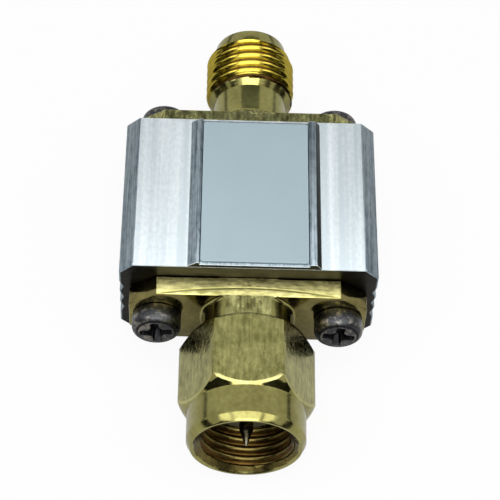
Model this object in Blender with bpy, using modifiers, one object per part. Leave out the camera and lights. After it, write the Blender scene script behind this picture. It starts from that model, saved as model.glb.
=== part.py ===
"""In-line coaxial band-pass filter with a socket at one end and a plug with a coupling nut at the other.

The origin is the centre of the housing's back face, which the filter rests on. +Z points out of the
labelled face and +Y along the coaxial axis, towards the socket.
"""

import math

import bmesh
import bpy
from mathutils import Matrix

MM = 0.001

# Clearances
SEAT_GAP = 0.05 * MM
SLIP_GAP = 0.05 * MM
RUN_GAP = 0.08 * MM
SCREW_ROOM = 0.17 * MM
CUT_PAST = 0.5 * MM

# Screws, two at each end
SCREW_SPREAD = 12.2 * MM
SHANK_RADIUS = 0.97 * MM
SHANK_LENGTH = 4.6 * MM
HEAD_RADIUS = 1.64 * MM
HEAD_HEIGHT = 1.32 * MM
HEAD_ROUND = 0.38 * MM
RECESS_SPAN = 2.3 * MM
RECESS_WIDTH = 0.66 * MM
RECESS_DEPTH = 0.75 * MM
RECESS_TAPER = 0.62
RECESS_TURN = math.radians(7)
TIP_CHAMFER = 0.3 * MM

# Extruded housing
HOUSING_LENGTH = 12.44 * MM
HOUSING_DEPTH = 7.7 * MM
HOUSING_SIDE = 2.54 * MM
CORNER_CHAMFER = 0.92 * MM
EDGE_BREAK = 0.11 * MM
GROOVE_COUNT = 3
GROOVE_PITCH = 1.22 * MM
GROOVE_WIDTH = 0.84 * MM
GROOVE_DEPTH = 0.18 * MM
GROOVE_LIP = 0.03 * MM
GROOVE_FALL = 1.5
GROOVE_STEPS = 4
ROOF_WALL = 1.6 * MM
SCREW_WALL = 0.45 * MM

# Raised land and its label
LAND_WIDTH = 8.9 * MM
LAND_RISE = 0.42 * MM
LEFT_FLANK = 0.62 * MM
RIGHT_FLANK = 0.3 * MM
LAND_SHIFT = 0.33 * MM
LAND_SETBACK = 0.3 * MM
LAND_END_GAP = 0.01 * MM
LEFT_RAIL = 0.18 * MM
RIGHT_RAIL = 0.5 * MM
LABEL_THICKNESS = 0.1 * MM
LABEL_SINK = 0.08 * MM
LABEL_MARGIN = 0.22 * MM

# Coaxial interface, shared by the socket and the plug
MOUTH_RADIUS = 2.3 * MM
MOUTH_DEPTH = 1.95 * MM
MATE_GAP = 0.03 * MM
SLEEVE_WALL = 0.18 * MM
PIN_RADIUS = 0.46 * MM
CONTACT_GRIP = 0.02 * MM
CONTACT_WALL = 0.17 * MM
THREAD_RISE = 0.62 * MM
THREAD_HEIGHT = 0.33 * MM

# Flanges
EAR = 1.85 * MM
SOCKET_FLANGE = 1.7 * MM
PLUG_FLANGE = 1.4 * MM
FLANGE_WALL = 0.55 * MM
FLANGE_CHAMFER_ALONG = 1.85 * MM
FLANGE_CHAMFER_ACROSS = 1.35 * MM
FLANGE_LIP = 0.5 * MM
FLANGE_LIP_RISE = 0.35 * MM

# Socket barrel, measured outwards from the flange
RIM_WALL = 0.25 * MM
NECK_RADIUS = 2.6 * MM
NECK_LENGTH = 2.5 * MM
NECK_FILLET = 0.36 * MM
THREAD_LENGTH = 4.1 * MM
THREAD_FOOT = 0.6 * MM
THREAD_LEAD = 0.3 * MM
PILOT_LENGTH = 1.1 * MM
MOUTH_FLARE = 0.12 * MM

# Plug body, measured outwards from the flange
BOSS_RADIUS = 3.04 * MM
BOSS_LENGTH = 1.8 * MM
BOSS_FILLET = 0.25 * MM
FERRULE_STEP = 0.58 * MM
FERRULE_LENGTH = 2.95 * MM
SLEEVE_LENGTH = 2.6 * MM
PIN_REACH = 2.4 * MM
PIN_POINT = 0.9 * MM
PIN_SHOULDER = 0.27 * MM
PIN_TAPER = 0.8
PIN_TIP_RADIUS = 0.09 * MM
NECK_BREAK = 0.1 * MM

# Coupling nut, ring and gasket
NUT_FLOAT = 0.15 * MM
NUT_LENGTH = 8.0 * MM
HEX_LENGTH = 5.5 * MM
HEX_WALL = 0.6 * MM
HEX_REAR_CHAMFER = 0.75 * MM
HEX_FRONT_CHAMFER = 0.72 * MM
HEX_FACE_STEP = 0.25 * MM
COLLAR_WALL = 0.55 * MM
COLLAR_CHAMFER = 0.25 * MM
COLLAR_SLOPE = 0.43 * MM
NUT_RIM = 0.19 * MM
MOUTH_LEAD = 0.5 * MM
NUT_LIP = 1.05 * MM
RING_THICKNESS = 0.45 * MM
RING_SET = 0.36 * MM
RING_BITE = 0.26 * MM
RING_ROOM = 0.15 * MM
RING_OPENING = math.radians(34)
CHAMBER_PAST = 0.1 * MM
GASKET_THICKNESS = 0.62 * MM
GASKET_ROUND = 0.12 * MM

# Contacts and their tails
TAIL_RADIUS = 0.3 * MM
TAIL_LENGTH = 2.1 * MM
SHOULDER_RADIUS = 0.95 * MM
SHOULDER_THICKNESS = 0.3 * MM
SOCKET_DEPTH = 2.6 * MM
SLOT_LENGTH = 2.1 * MM
SLOT_WIDTH = 0.16 * MM

# Board and what is on it
BOARD_THICKNESS = 0.5 * MM
BOARD_SLOT_DEPTH = 0.45 * MM
BOARD_END_GAP = 0.35 * MM
TRACE_THICKNESS = 0.08 * MM
TRACE_WIDTH = 1.1 * MM
CHIP_LENGTH = 4.6 * MM
CHIP_WIDTH = 3.4 * MM
CHIP_HEIGHT = 1.3 * MM
CHIP_ROUND = 0.12 * MM
SOLDER_RADIUS = 0.85 * MM
SOLDER_HEIGHT = 0.72 * MM

# Facets round a circle, and round a fillet's quarter
FINE = 48
MEDIUM = 32
COARSE = 24
SMALL = 16
FILLET_POINTS = 4

# How the meshes are joined and shaded
MERGE = 0.0001 * MM
FLAT_ANGLE = math.radians(0.5)
EDGE_ANGLE = math.radians(25)
SHARP_ANGLE = math.radians(30)

# Sizes that follow from those above
AXIS_HEIGHT = HOUSING_DEPTH / 2
SCREW_X = SCREW_SPREAD / 2
HOUSING_HALF = SCREW_X + HOUSING_SIDE
TAPPED_RADIUS = SHANK_RADIUS + SLIP_GAP
SLOT_HALF = SCREW_X - TAPPED_RADIUS - SCREW_WALL
CAVITY_HALF = SLOT_HALF - BOARD_SLOT_DEPTH
CAVITY_HEIGHT = HOUSING_DEPTH - 2 * ROOF_WALL
SLEEVE_RADIUS = MOUTH_RADIUS - MATE_GAP
BODY_BORE = SLEEVE_RADIUS - SLEEVE_WALL
DIELECTRIC_RADIUS = BODY_BORE - SLIP_GAP
LIP_BORE = BODY_BORE - FLANGE_LIP_RISE
CONTACT_BORE = PIN_RADIUS + CONTACT_GRIP
CONTACT_RADIUS = CONTACT_BORE + CONTACT_WALL
PILOT_RADIUS = MOUTH_RADIUS + RIM_WALL
THREAD_RADIUS = PILOT_RADIUS + THREAD_RISE
FLANGE_HALF_WIDTH = SCREW_X + EAR
FLANGE_HALF_HEIGHT = BODY_BORE + FLANGE_WALL
SOCKET_FLANGE_TOP = SEAT_GAP + SOCKET_FLANGE
PLUG_FLANGE_TOP = SEAT_GAP + PLUG_FLANGE
THREAD_START = SOCKET_FLANGE_TOP + NECK_LENGTH
THREAD_END = THREAD_START + THREAD_LENGTH
BARREL_END = THREAD_END + PILOT_LENGTH
SOCKET_PLANE = BARREL_END - MOUTH_DEPTH
BOSS_END = PLUG_FLANGE_TOP + BOSS_LENGTH
FERRULE_RADIUS = SLEEVE_RADIUS + FERRULE_STEP
FERRULE_END = BOSS_END + FERRULE_LENGTH
PLUG_PLANE = FERRULE_END + SLEEVE_LENGTH
NUT_START = BOSS_END + NUT_FLOAT
NUT_END = NUT_START + NUT_LENGTH
NUT_BORE = FERRULE_RADIUS + RUN_GAP
RING_OUTER = NUT_BORE + RING_BITE
RING_INNER = FERRULE_RADIUS - RING_SET
RING_START = NUT_START + NUT_LIP + SEAT_GAP
CHAMBER_RADIUS = RING_OUTER + RING_ROOM
CHAMBER_END = FERRULE_END + CHAMBER_PAST
HEX_HALF = CHAMBER_RADIUS + HEX_WALL
HEX_CORNER = HEX_HALF / math.cos(math.pi / 6)
HEX_FACE_RADIUS = HEX_HALF - HEX_FACE_STEP
HEX_END = NUT_START + HEX_LENGTH
COLLAR_RADIUS = CHAMBER_RADIUS + COLLAR_WALL
COLLAR_FACE = COLLAR_RADIUS - COLLAR_CHAMFER
NUT_MOUTH = COLLAR_FACE - NUT_RIM
NUT_MINOR = THREAD_RADIUS - THREAD_HEIGHT
GASKET_START = FERRULE_END + SEAT_GAP
GASKET_INNER = SLEEVE_RADIUS + SLIP_GAP
GASKET_OUTER = min(NUT_MINOR, FERRULE_RADIUS) - 2 * SLIP_GAP
TRACE_TOP = -TAIL_RADIUS - SEAT_GAP
TRACE_BASE = TRACE_TOP - TRACE_THICKNESS
BOARD_TOP = TRACE_BASE - SEAT_GAP
BOARD_BASE = BOARD_TOP - BOARD_THICKNESS
LAND_TOP = AXIS_HEIGHT + LAND_RISE
LAND_LEFT = LAND_SHIFT - LAND_WIDTH / 2
LAND_RIGHT = LAND_SHIFT + LAND_WIDTH / 2
CHANNEL_LEFT = LAND_LEFT + LEFT_FLANK + LEFT_RAIL
CHANNEL_RIGHT = LAND_RIGHT - RIGHT_FLANK - RIGHT_RAIL
CHANNEL_MIDDLE = (CHANNEL_LEFT + CHANNEL_RIGHT) / 2
CHANNEL_WIDTH = CHANNEL_RIGHT - CHANNEL_LEFT

FINISHES = {
    "bare_aluminium": ((0.74, 0.76, 0.78), 0.38, 1.0),
    "label_film": ((0.44, 0.55, 0.62), 0.5, 0.0),
    "gold_plate": ((0.78, 0.68, 0.3), 0.24, 1.0),
    "gunmetal": ((0.09, 0.095, 0.09), 0.35, 1.0),
    "white_insulator": ((0.88, 0.88, 0.85), 0.45, 0.0),
    "grey_rubber": ((0.3, 0.3, 0.32), 0.7, 0.0),
    "spring_bronze": ((0.55, 0.4, 0.2), 0.3, 1.0),
    "board_laminate": ((0.05, 0.22, 0.12), 0.55, 0.0),
    "ceramic": ((0.62, 0.6, 0.54), 0.6, 0.0),
    "copper_foil": ((0.72, 0.4, 0.25), 0.3, 1.0),
    "solder": ((0.62, 0.63, 0.64), 0.3, 1.0),
}


def clear_scene():
    for old in list(bpy.data.objects):
        bpy.data.objects.remove(old)


def new_collection(name, hidden):
    collection = bpy.data.collections.new(name)
    collection.hide_render = hidden
    bpy.context.scene.collection.children.link(collection)
    return collection


clear_scene()
PARTS = new_collection("coaxial_bandpass_filter", False)
CUTTERS = new_collection("cutters", True)


def finish_of(name):
    """The named finish as a material, made once."""
    if name in bpy.data.materials:
        return bpy.data.materials[name]
    colour, roughness, metallic = FINISHES[name]
    material = bpy.data.materials.new(name)
    material.use_nodes = True
    shader = material.node_tree.nodes["Principled BSDF"]
    shader.inputs["Base Color"].default_value = (*colour, 1.0)
    shader.inputs["Roughness"].default_value = roughness
    shader.inputs["Metallic"].default_value = metallic
    material.diffuse_color = (*colour, 1.0)
    return material


def new_object(name, mesh):
    shape = bpy.data.objects.new(name, mesh)
    PARTS.objects.link(shape)
    return shape


def from_bmesh(name, form):
    mesh = bpy.data.meshes.new(name)
    form.to_mesh(mesh)
    form.free()
    return new_object(name, mesh)


def bake(shape):
    """Turns what the object's modifiers or curve make of it into its own mesh."""
    bpy.context.view_layer.update()
    graph = bpy.context.evaluated_depsgraph_get()
    made = bpy.data.meshes.new_from_object(shape.evaluated_get(graph))
    shape.modifiers.clear()
    shape.data = made


def cut(shape, *cutters, operation="DIFFERENCE"):
    """Applies the cutters to the object, then files them as wires."""
    for cutter in cutters:
        boolean = shape.modifiers.new("cut", "BOOLEAN")
        boolean.operation = operation
        boolean.solver = "EXACT"
        boolean.object = cutter
        bake(shape)
        file_away(cutter, shape)
    return shape


def file_away(cutter, shape):
    PARTS.objects.unlink(cutter)
    CUTTERS.objects.link(cutter)
    cutter.name = shape.name + "_tool"
    cutter.display_type = "WIRE"
    cutter.hide_render = True


def turned(name, profile, facets=FINE, ring=False):
    """Turns (radius, height) points about Z. They run down the outer side, and a ring's ends meet."""
    form = bmesh.new()
    corners = [form.verts.new((radius, 0, height)) for radius, height in profile]
    for upper, lower in zip(corners, corners[1:]):
        form.edges.new((upper, lower))
    if ring:
        form.edges.new((corners[-1], corners[0]))
    shape = from_bmesh(name, form)
    screw = shape.modifiers.new("turn", "SCREW")
    screw.angle = 2 * math.pi
    screw.steps = facets
    screw.render_steps = facets
    screw.use_merge_vertices = True
    screw.merge_threshold = MERGE
    bake(shape)
    return shape


def prism(name, outline, low, high):
    """A flat outline in X and Y, given anticlockwise, extruded from one height to the other."""
    curve = bpy.data.curves.new(name, "CURVE")
    curve.dimensions = "2D"
    curve.fill_mode = "BOTH"
    curve.extrude = (high - low) / 2
    spline = curve.splines.new("POLY")
    spline.points.add(len(outline) - 1)
    for point, (x, y) in zip(spline.points, outline):
        point.co = (x, y, 0, 1)
    spline.use_cyclic_u = True
    drawn = bpy.data.objects.new(name, curve)
    PARTS.objects.link(drawn)
    bpy.context.view_layer.update()
    graph = bpy.context.evaluated_depsgraph_get()
    mesh = bpy.data.meshes.new_from_object(drawn.evaluated_get(graph))
    bpy.data.objects.remove(drawn)
    form = bmesh.new()
    form.from_mesh(mesh)
    bmesh.ops.remove_doubles(form, verts=form.verts, dist=MERGE)
    bmesh.ops.dissolve_limit(form, angle_limit=FLAT_ANGLE, verts=form.verts, edges=form.edges)
    bmesh.ops.recalc_face_normals(form, faces=form.faces)
    bmesh.ops.translate(form, verts=form.verts, vec=(0, 0, (low + high) / 2))
    return from_bmesh(name, form)


def block(name, size, centre):
    form = bmesh.new()
    bmesh.ops.create_cube(form, size=1)
    bmesh.ops.scale(form, verts=form.verts, vec=size)
    bmesh.ops.translate(form, verts=form.verts, vec=centre)
    return from_bmesh(name, form)


def rod(name, radius, low, high, x=0.0, facets=COARSE):
    form = bmesh.new()
    place = Matrix.Translation((x, 0, (low + high) / 2))
    bmesh.ops.create_cone(
        form, cap_ends=True, segments=facets, radius1=radius, radius2=radius, depth=high - low, matrix=place
    )
    return from_bmesh(name, form)


def chamfered_block(name, size, centre, width):
    shape = block(name, size, centre)
    bevel = shape.modifiers.new("edges", "BEVEL")
    bevel.width = width
    bevel.segments = 2
    bake(shape)
    return shape


def complete(shape, finish, parent, place=(0, 0, 0)):
    """Gives the piece its finish and shading, and puts it where its parent carries it."""
    shape.data.materials.clear()
    shape.data.materials.append(finish_of(finish))
    shape.data.shade_smooth()
    shape.data.set_sharp_from_angle(angle=SHARP_ANGLE)
    shape.parent = parent
    shape.location = place
    return shape


def add_empty(name, place, turn):
    empty = bpy.data.objects.new(name, None)
    empty.empty_display_size = 2 * MM
    empty.location = place
    empty.rotation_euler = turn
    PARTS.objects.link(empty)
    return empty


def arc(radius, start, stop, count, centre=(0.0, 0.0)):
    """Points along an arc, both ends included."""
    turns = [start + (stop - start) * step / (count - 1) for step in range(count)]
    return [(centre[0] + radius * math.cos(t), centre[1] + radius * math.sin(t)) for t in turns]


def fillet(radius, size, foot):
    """Points of the hollow round between a turned side and the flange that it stands on."""
    return arc(size, math.pi, 1.5 * math.pi, FILLET_POINTS, (radius + size, foot + size))


def mirrored(points):
    return [(-x, y) for x, y in reversed(points)]


def housing_outline():
    """The extrusion's section without its grooves, with the land's flanks leaning inwards."""
    half_depth = HOUSING_DEPTH / 2
    side = HOUSING_HALF
    inset = CORNER_CHAMFER
    right = [(side - inset, -half_depth), (side, inset - half_depth), (side, half_depth - inset)]
    right.append((side - inset, half_depth))
    land = [
        (LAND_RIGHT, half_depth),
        (LAND_RIGHT - RIGHT_FLANK, LAND_TOP),
        (LAND_LEFT + LEFT_FLANK, LAND_TOP),
        (LAND_LEFT, half_depth),
    ]
    return right + land + mirrored(right)


def groove_outline(centre):
    """One side groove's cutter: rounded lips that fall to a narrow bottom."""
    reach = GROOVE_DEPTH + GROOVE_LIP
    points = [(HOUSING_HALF + CUT_PAST, centre + GROOVE_WIDTH / 2)]
    for step in range(GROOVE_STEPS, -GROOVE_STEPS - 1, -1):
        share = step / GROOVE_STEPS
        depth = reach * (1 - abs(share)) ** GROOVE_FALL - GROOVE_LIP
        points.append((HOUSING_HALF - depth, centre + share * GROOVE_WIDTH / 2))
    points.append((HOUSING_HALF + CUT_PAST, centre - GROOVE_WIDTH / 2))
    return points


def groove_heights():
    first = -(GROOVE_COUNT - 1) / 2
    return [(first + index) * GROOVE_PITCH for index in range(GROOVE_COUNT)]


def add_housing(parent):
    """The extrusion, drawn upright with its section in X and Y and then laid along the axis."""
    half = HOUSING_LENGTH / 2
    housing = prism("housing", housing_outline(), -half, half)
    bevel = housing.modifiers.new("broken_edges", "BEVEL")
    bevel.width = EDGE_BREAK
    bevel.segments = 1
    bevel.limit_method = "ANGLE"
    bevel.angle_limit = EDGE_ANGLE
    bake(housing)
    past = half + CUT_PAST
    for height in groove_heights():
        outline = groove_outline(height)
        cut(housing, prism("groove", outline, -past, past), prism("groove", mirrored(outline), -past, past))
    cut(housing, block("cavity", (2 * CAVITY_HALF, CAVITY_HEIGHT, 2 * past), (0, 0, 0)))
    slot_height = BOARD_THICKNESS + 2 * SLIP_GAP
    slot_centre = (BOARD_TOP + BOARD_BASE) / 2
    cut(housing, block("slot", (2 * SLOT_HALF, slot_height, 2 * past), (0, slot_centre, 0)))
    for x in (-SCREW_X, SCREW_X):
        cut(housing, rod("screw_hole", TAPPED_RADIUS, -past, past, x))
    channel_depth = LABEL_SINK + LABEL_THICKNESS + SEAT_GAP
    channel_floor = LAND_TOP - channel_depth
    channel_centre = (CHANNEL_MIDDLE, channel_floor + CUT_PAST, 0)
    cut(housing, block("label_channel", (CHANNEL_WIDTH, 2 * CUT_PAST, 2 * past), channel_centre))
    step = (LAND_WIDTH + 2 * CUT_PAST, 2 * CUT_PAST, 2 * (LAND_SETBACK + CUT_PAST))
    step_middle = AXIS_HEIGHT + CUT_PAST + LAND_END_GAP
    cut(housing, block("land_end", step, (LAND_SHIFT, step_middle, -half - CUT_PAST)))
    return complete(housing, "bare_aluminium", parent)


def add_label(parent):
    """The bare label, lying in its channel between the two rails."""
    width = CHANNEL_WIDTH - 2 * SLIP_GAP
    low = LAND_SETBACK + LABEL_MARGIN - HOUSING_LENGTH / 2
    high = HOUSING_LENGTH / 2 - LABEL_MARGIN
    top = LAND_TOP - LABEL_SINK
    centre = (CHANNEL_MIDDLE, top - LABEL_THICKNESS / 2, (low + high) / 2)
    label = block("label_plate", (width, LABEL_THICKNESS, high - low), centre)
    return complete(label, "label_film", parent)


def flange_outline():
    corner = [
        (FLANGE_HALF_WIDTH - FLANGE_CHAMFER_ALONG, -FLANGE_HALF_HEIGHT),
        (FLANGE_HALF_WIDTH, FLANGE_CHAMFER_ACROSS - FLANGE_HALF_HEIGHT),
        (FLANGE_HALF_WIDTH, FLANGE_HALF_HEIGHT - FLANGE_CHAMFER_ACROSS),
        (FLANGE_HALF_WIDTH - FLANGE_CHAMFER_ALONG, FLANGE_HALF_HEIGHT),
    ]
    return corner + mirrored(corner)


def add_flange(name, top, outside, bore):
    """A two-hole flange in one piece with the turned outside that rises from it, bored through."""
    flange = prism(name, flange_outline(), SEAT_GAP, top)
    cut(flange, outside, operation="UNION")
    cut(flange, bore)
    for x in (-SCREW_X, SCREW_X):
        cut(flange, rod("screw_hole", SHANK_RADIUS + SCREW_ROOM, -CUT_PAST, top + CUT_PAST, x))
    return flange


def mill_flats(outside, end):
    """Mills a turned outside level with the flange's two long edges, as far up as the given height."""
    slab = CUT_PAST + BOSS_RADIUS
    for side in (-1, 1):
        middle = (0, side * (FLANGE_HALF_HEIGHT + slab / 2), end - slab)
        cut(outside, block("flat", (2 * slab, slab, 2 * slab), middle))


def bore_below(top_points):
    """A bore's profile: the given points at its mouth, then the insulator's seat and the flange's lip."""
    seat = SEAT_GAP + FLANGE_LIP
    return top_points + [(BODY_BORE, seat), (LIP_BORE, seat), (LIP_BORE, -CUT_PAST), (0, -CUT_PAST)]


def add_female_body(parent):
    outside = turned(
        "barrel",
        [
            (0, BARREL_END),
            (PILOT_RADIUS - MOUTH_FLARE / 2, BARREL_END),
            (PILOT_RADIUS, BARREL_END - MOUTH_FLARE / 2),
            (PILOT_RADIUS, THREAD_END),
            (THREAD_RADIUS, THREAD_END - THREAD_LEAD),
            (THREAD_RADIUS, THREAD_START + THREAD_FOOT),
            (NECK_RADIUS, THREAD_START),
            *fillet(NECK_RADIUS, NECK_FILLET, SOCKET_FLANGE_TOP),
            (NECK_RADIUS + NECK_FILLET, SOCKET_FLANGE_TOP / 2),
            (0, SOCKET_FLANGE_TOP / 2),
        ],
    )
    mill_flats(outside, SOCKET_FLANGE_TOP + NECK_FILLET)
    mouth = [
        (0, BARREL_END + CUT_PAST),
        (MOUTH_RADIUS + MOUTH_FLARE + CUT_PAST, BARREL_END + CUT_PAST),
        (MOUTH_RADIUS, BARREL_END - MOUTH_FLARE),
        (MOUTH_RADIUS, SOCKET_PLANE),
        (BODY_BORE, SOCKET_PLANE),
    ]
    body = add_flange("female_body", SOCKET_FLANGE_TOP, outside, turned("bore", bore_below(mouth)))
    return complete(body, "gold_plate", parent)


def add_male_body(parent):
    groove_radius = RING_INNER - SLIP_GAP
    groove_start = RING_START - SEAT_GAP
    groove_end = RING_START + RING_THICKNESS + SEAT_GAP
    outside = turned(
        "ferrule",
        [
            (0, PLUG_PLANE),
            (SLEEVE_RADIUS - NECK_BREAK / 2, PLUG_PLANE),
            (SLEEVE_RADIUS, PLUG_PLANE - NECK_BREAK),
            (SLEEVE_RADIUS, FERRULE_END),
            (FERRULE_RADIUS - NECK_BREAK, FERRULE_END),
            (FERRULE_RADIUS, FERRULE_END - NECK_BREAK),
            (FERRULE_RADIUS, groove_end),
            (groove_radius, groove_end),
            (groove_radius, groove_start),
            (FERRULE_RADIUS, groove_start),
            (FERRULE_RADIUS, BOSS_END),
            (BOSS_RADIUS - NECK_BREAK, BOSS_END),
            (BOSS_RADIUS, BOSS_END - NECK_BREAK),
            *fillet(BOSS_RADIUS, BOSS_FILLET, PLUG_FLANGE_TOP),
            (BOSS_RADIUS + BOSS_FILLET, PLUG_FLANGE_TOP / 2),
            (0, PLUG_FLANGE_TOP / 2),
        ],
    )
    mill_flats(outside, BOSS_END)
    bore = [(0, PLUG_PLANE + CUT_PAST), (BODY_BORE, PLUG_PLANE + CUT_PAST)]
    body = add_flange("male_body", PLUG_FLANGE_TOP, outside, turned("bore", bore_below(bore)))
    return complete(body, "gold_plate", parent)


def add_dielectric(name, parent, front):
    """The insulator fills its body's bore down to the flange's lip and holds the contact on the axis."""
    base = SEAT_GAP + FLANGE_LIP + SEAT_GAP
    neck = LIP_BORE - SLIP_GAP
    inner = CONTACT_RADIUS + SLIP_GAP
    top = front - SEAT_GAP
    profile = [(DIELECTRIC_RADIUS, top), (DIELECTRIC_RADIUS, base), (neck, base), (neck, SEAT_GAP)]
    profile += [(inner, SEAT_GAP), (inner, top)]
    insulator = turned(name, profile, MEDIUM, ring=True)
    return complete(insulator, "white_insulator", parent)


def contact_tail():
    """The end of a contact inside the housing: a shoulder behind the insulator and a thin tail."""
    back = -SHOULDER_THICKNESS
    return [
        (CONTACT_RADIUS, 0),
        (SHOULDER_RADIUS, 0),
        (SHOULDER_RADIUS, back),
        (TAIL_RADIUS, back),
        (TAIL_RADIUS, -TAIL_LENGTH),
        (0, -TAIL_LENGTH),
    ]


def add_female_contact(parent):
    """A socket contact: its mouth is flared and split into four fingers by two crossing slots."""
    top = SOCKET_PLANE - SEAT_GAP
    flare = CONTACT_WALL / 2
    bottom = top - SOCKET_DEPTH
    profile = [
        (0, bottom - CONTACT_BORE / 2),
        (CONTACT_BORE, bottom),
        (CONTACT_BORE, top - flare),
        (CONTACT_BORE + flare, top),
        (CONTACT_RADIUS, top),
    ]
    contact = turned("female_contact", profile + contact_tail(), COARSE)
    span = 2 * CONTACT_RADIUS + CUT_PAST
    height = SLOT_LENGTH + CUT_PAST
    middle = (0, 0, top - SLOT_LENGTH + height / 2)
    slots = block("slot_x", (span, SLOT_WIDTH, height), middle)
    cut(contact, slots, block("slot_y", (SLOT_WIDTH, span, height), middle))
    return complete(contact, "gold_plate", parent)


def add_male_pin(parent):
    """The plug's pin, thick where the insulator holds it and pointed at its tip."""
    tip = PLUG_PLANE + PIN_REACH
    step = PLUG_PLANE - SEAT_GAP
    profile = [
        (0, tip),
        (PIN_TIP_RADIUS, tip),
        (PIN_RADIUS * PIN_TAPER, tip - PIN_POINT),
        (PIN_RADIUS, tip - PIN_POINT - PIN_SHOULDER),
        (PIN_RADIUS, step),
        (CONTACT_RADIUS, step),
    ]
    pin = turned("male_pin", profile + contact_tail(), COARSE)
    return complete(pin, "gold_plate", parent)


def hexagon():
    return [(HEX_CORNER * math.cos(turn), HEX_CORNER * math.sin(turn)) for turn in sixths()]


def sixths():
    return [math.radians(60 * index) for index in range(6)]


def add_coupling_nut(parent):
    """A turned blank with a chamfered head and a stepped bore, whose head is then milled to a hexagon."""
    corner = HEX_CORNER + SEAT_GAP
    blank = [
        (COLLAR_FACE, NUT_END),
        (COLLAR_RADIUS, NUT_END - COLLAR_SLOPE),
        (COLLAR_RADIUS, HEX_END),
        (corner, HEX_END - HEX_FRONT_CHAMFER),
        (corner, NUT_START + HEX_REAR_CHAMFER),
        (HEX_FACE_RADIUS, NUT_START),
        (NUT_BORE + NECK_BREAK, NUT_START),
        (NUT_BORE, NUT_START + NECK_BREAK),
        (NUT_BORE, NUT_START + NUT_LIP),
        (CHAMBER_RADIUS, NUT_START + NUT_LIP),
        (CHAMBER_RADIUS, CHAMBER_END),
        (NUT_MINOR, CHAMBER_END + CHAMBER_RADIUS - NUT_MINOR),
        (NUT_MINOR, NUT_END - MOUTH_LEAD),
        (NUT_MOUTH, NUT_END),
    ]
    lowered = [(radius, height - NUT_START) for radius, height in blank]
    nut = turned("coupling_nut", lowered, FINE, ring=True)
    envelope = prism("hexagon", hexagon(), -CUT_PAST, HEX_LENGTH)
    sheath_start = HEX_LENGTH - CUT_PAST / 2
    sheath = rod("sheath", HEX_HALF, sheath_start, NUT_LENGTH + CUT_PAST, facets=FINE)
    cut(envelope, sheath, operation="UNION")
    cut(nut, envelope, operation="INTERSECT")
    return complete(nut, "gold_plate", parent, (0, 0, NUT_START))


def add_retaining_ring(parent):
    """A split ring, half in the ferrule's groove and half behind the nut's lip."""
    half_gap = RING_OPENING / 2
    start = half_gap - math.pi / 2
    stop = 1.5 * math.pi - half_gap
    outline = arc(RING_OUTER, start, stop, FINE) + arc(RING_INNER, stop, start, FINE)
    ring = prism("retaining_ring", outline, RING_START, RING_START + RING_THICKNESS)
    return complete(ring, "spring_bronze", parent)


def add_gasket(parent):
    top = GASKET_START + GASKET_THICKNESS
    low = GASKET_START
    soft = GASKET_ROUND
    profile = [
        (GASKET_OUTER - soft, top),
        (GASKET_OUTER, top - soft),
        (GASKET_OUTER, low + soft),
        (GASKET_OUTER - soft, low),
        (GASKET_INNER, low),
        (GASKET_INNER, top),
    ]
    gasket = turned("gasket", profile, MEDIUM, ring=True)
    return complete(gasket, "grey_rubber", parent)


def recess_blade(name, turn):
    """One wing pair of the cross recess, narrower at its bottom."""
    form = bmesh.new()
    bmesh.ops.create_cube(form, size=1)
    height = RECESS_DEPTH + CUT_PAST
    spread = 1 + (1 - RECESS_TAPER) * CUT_PAST / RECESS_DEPTH
    for corner in form.verts:
        share = RECESS_TAPER if corner.co.z < 0 else spread
        corner.co.x *= RECESS_SPAN * share
        corner.co.y *= RECESS_WIDTH * share
        corner.co.z *= height
    lift = HEAD_HEIGHT - RECESS_DEPTH + height / 2
    bmesh.ops.translate(form, verts=form.verts, vec=(0, 0, lift))
    bmesh.ops.rotate(form, verts=form.verts, matrix=Matrix.Rotation(turn, 3, "Z"))
    return from_bmesh(name, form)


def add_screw(name, parent, x, seat):
    """A pan-head screw with its seat at its origin. Its head's edge is a quarter round."""
    curve = arc(HEAD_ROUND, math.pi / 2, 0, 4, (HEAD_RADIUS - HEAD_ROUND, HEAD_HEIGHT - HEAD_ROUND))
    profile = [(0, HEAD_HEIGHT)] + curve
    profile += [(HEAD_RADIUS, 0), (SHANK_RADIUS, 0)]
    profile += [(SHANK_RADIUS, TIP_CHAMFER - SHANK_LENGTH), (SHANK_RADIUS - TIP_CHAMFER, -SHANK_LENGTH)]
    profile += [(0, -SHANK_LENGTH)]
    screw = turned(name, profile, COARSE)
    turn = RECESS_TURN if x > 0 else -RECESS_TURN
    cut(screw, recess_blade("recess", turn), recess_blade("recess", turn + math.pi / 2))
    return complete(screw, "gunmetal", parent, (x, 0, seat))


def add_board(parent):
    length = HOUSING_LENGTH - 2 * BOARD_END_GAP
    size = (2 * (SLOT_HALF - SLIP_GAP), length, BOARD_THICKNESS)
    board = block("circuit_board", size, (0, 0, (BOARD_TOP + BOARD_BASE) / 2))
    return complete(board, "board_laminate", parent)


def add_chip(parent):
    centre = (0, 0, BOARD_TOP + SEAT_GAP + CHIP_HEIGHT / 2)
    chip = chamfered_block("filter_chip", (CHIP_WIDTH, CHIP_LENGTH, CHIP_HEIGHT), centre, CHIP_ROUND)
    return complete(chip, "ceramic", parent)


def add_trace(name, parent, side):
    """A copper strip from the chip's end to the board's end."""
    near = CHIP_LENGTH / 2 + SEAT_GAP
    far = HOUSING_LENGTH / 2 - BOARD_END_GAP - SEAT_GAP
    size = (TRACE_WIDTH, far - near, TRACE_THICKNESS)
    trace = block(name, size, (0, side * (near + far) / 2, (TRACE_TOP + TRACE_BASE) / 2))
    return complete(trace, "copper_foil", parent)


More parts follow.
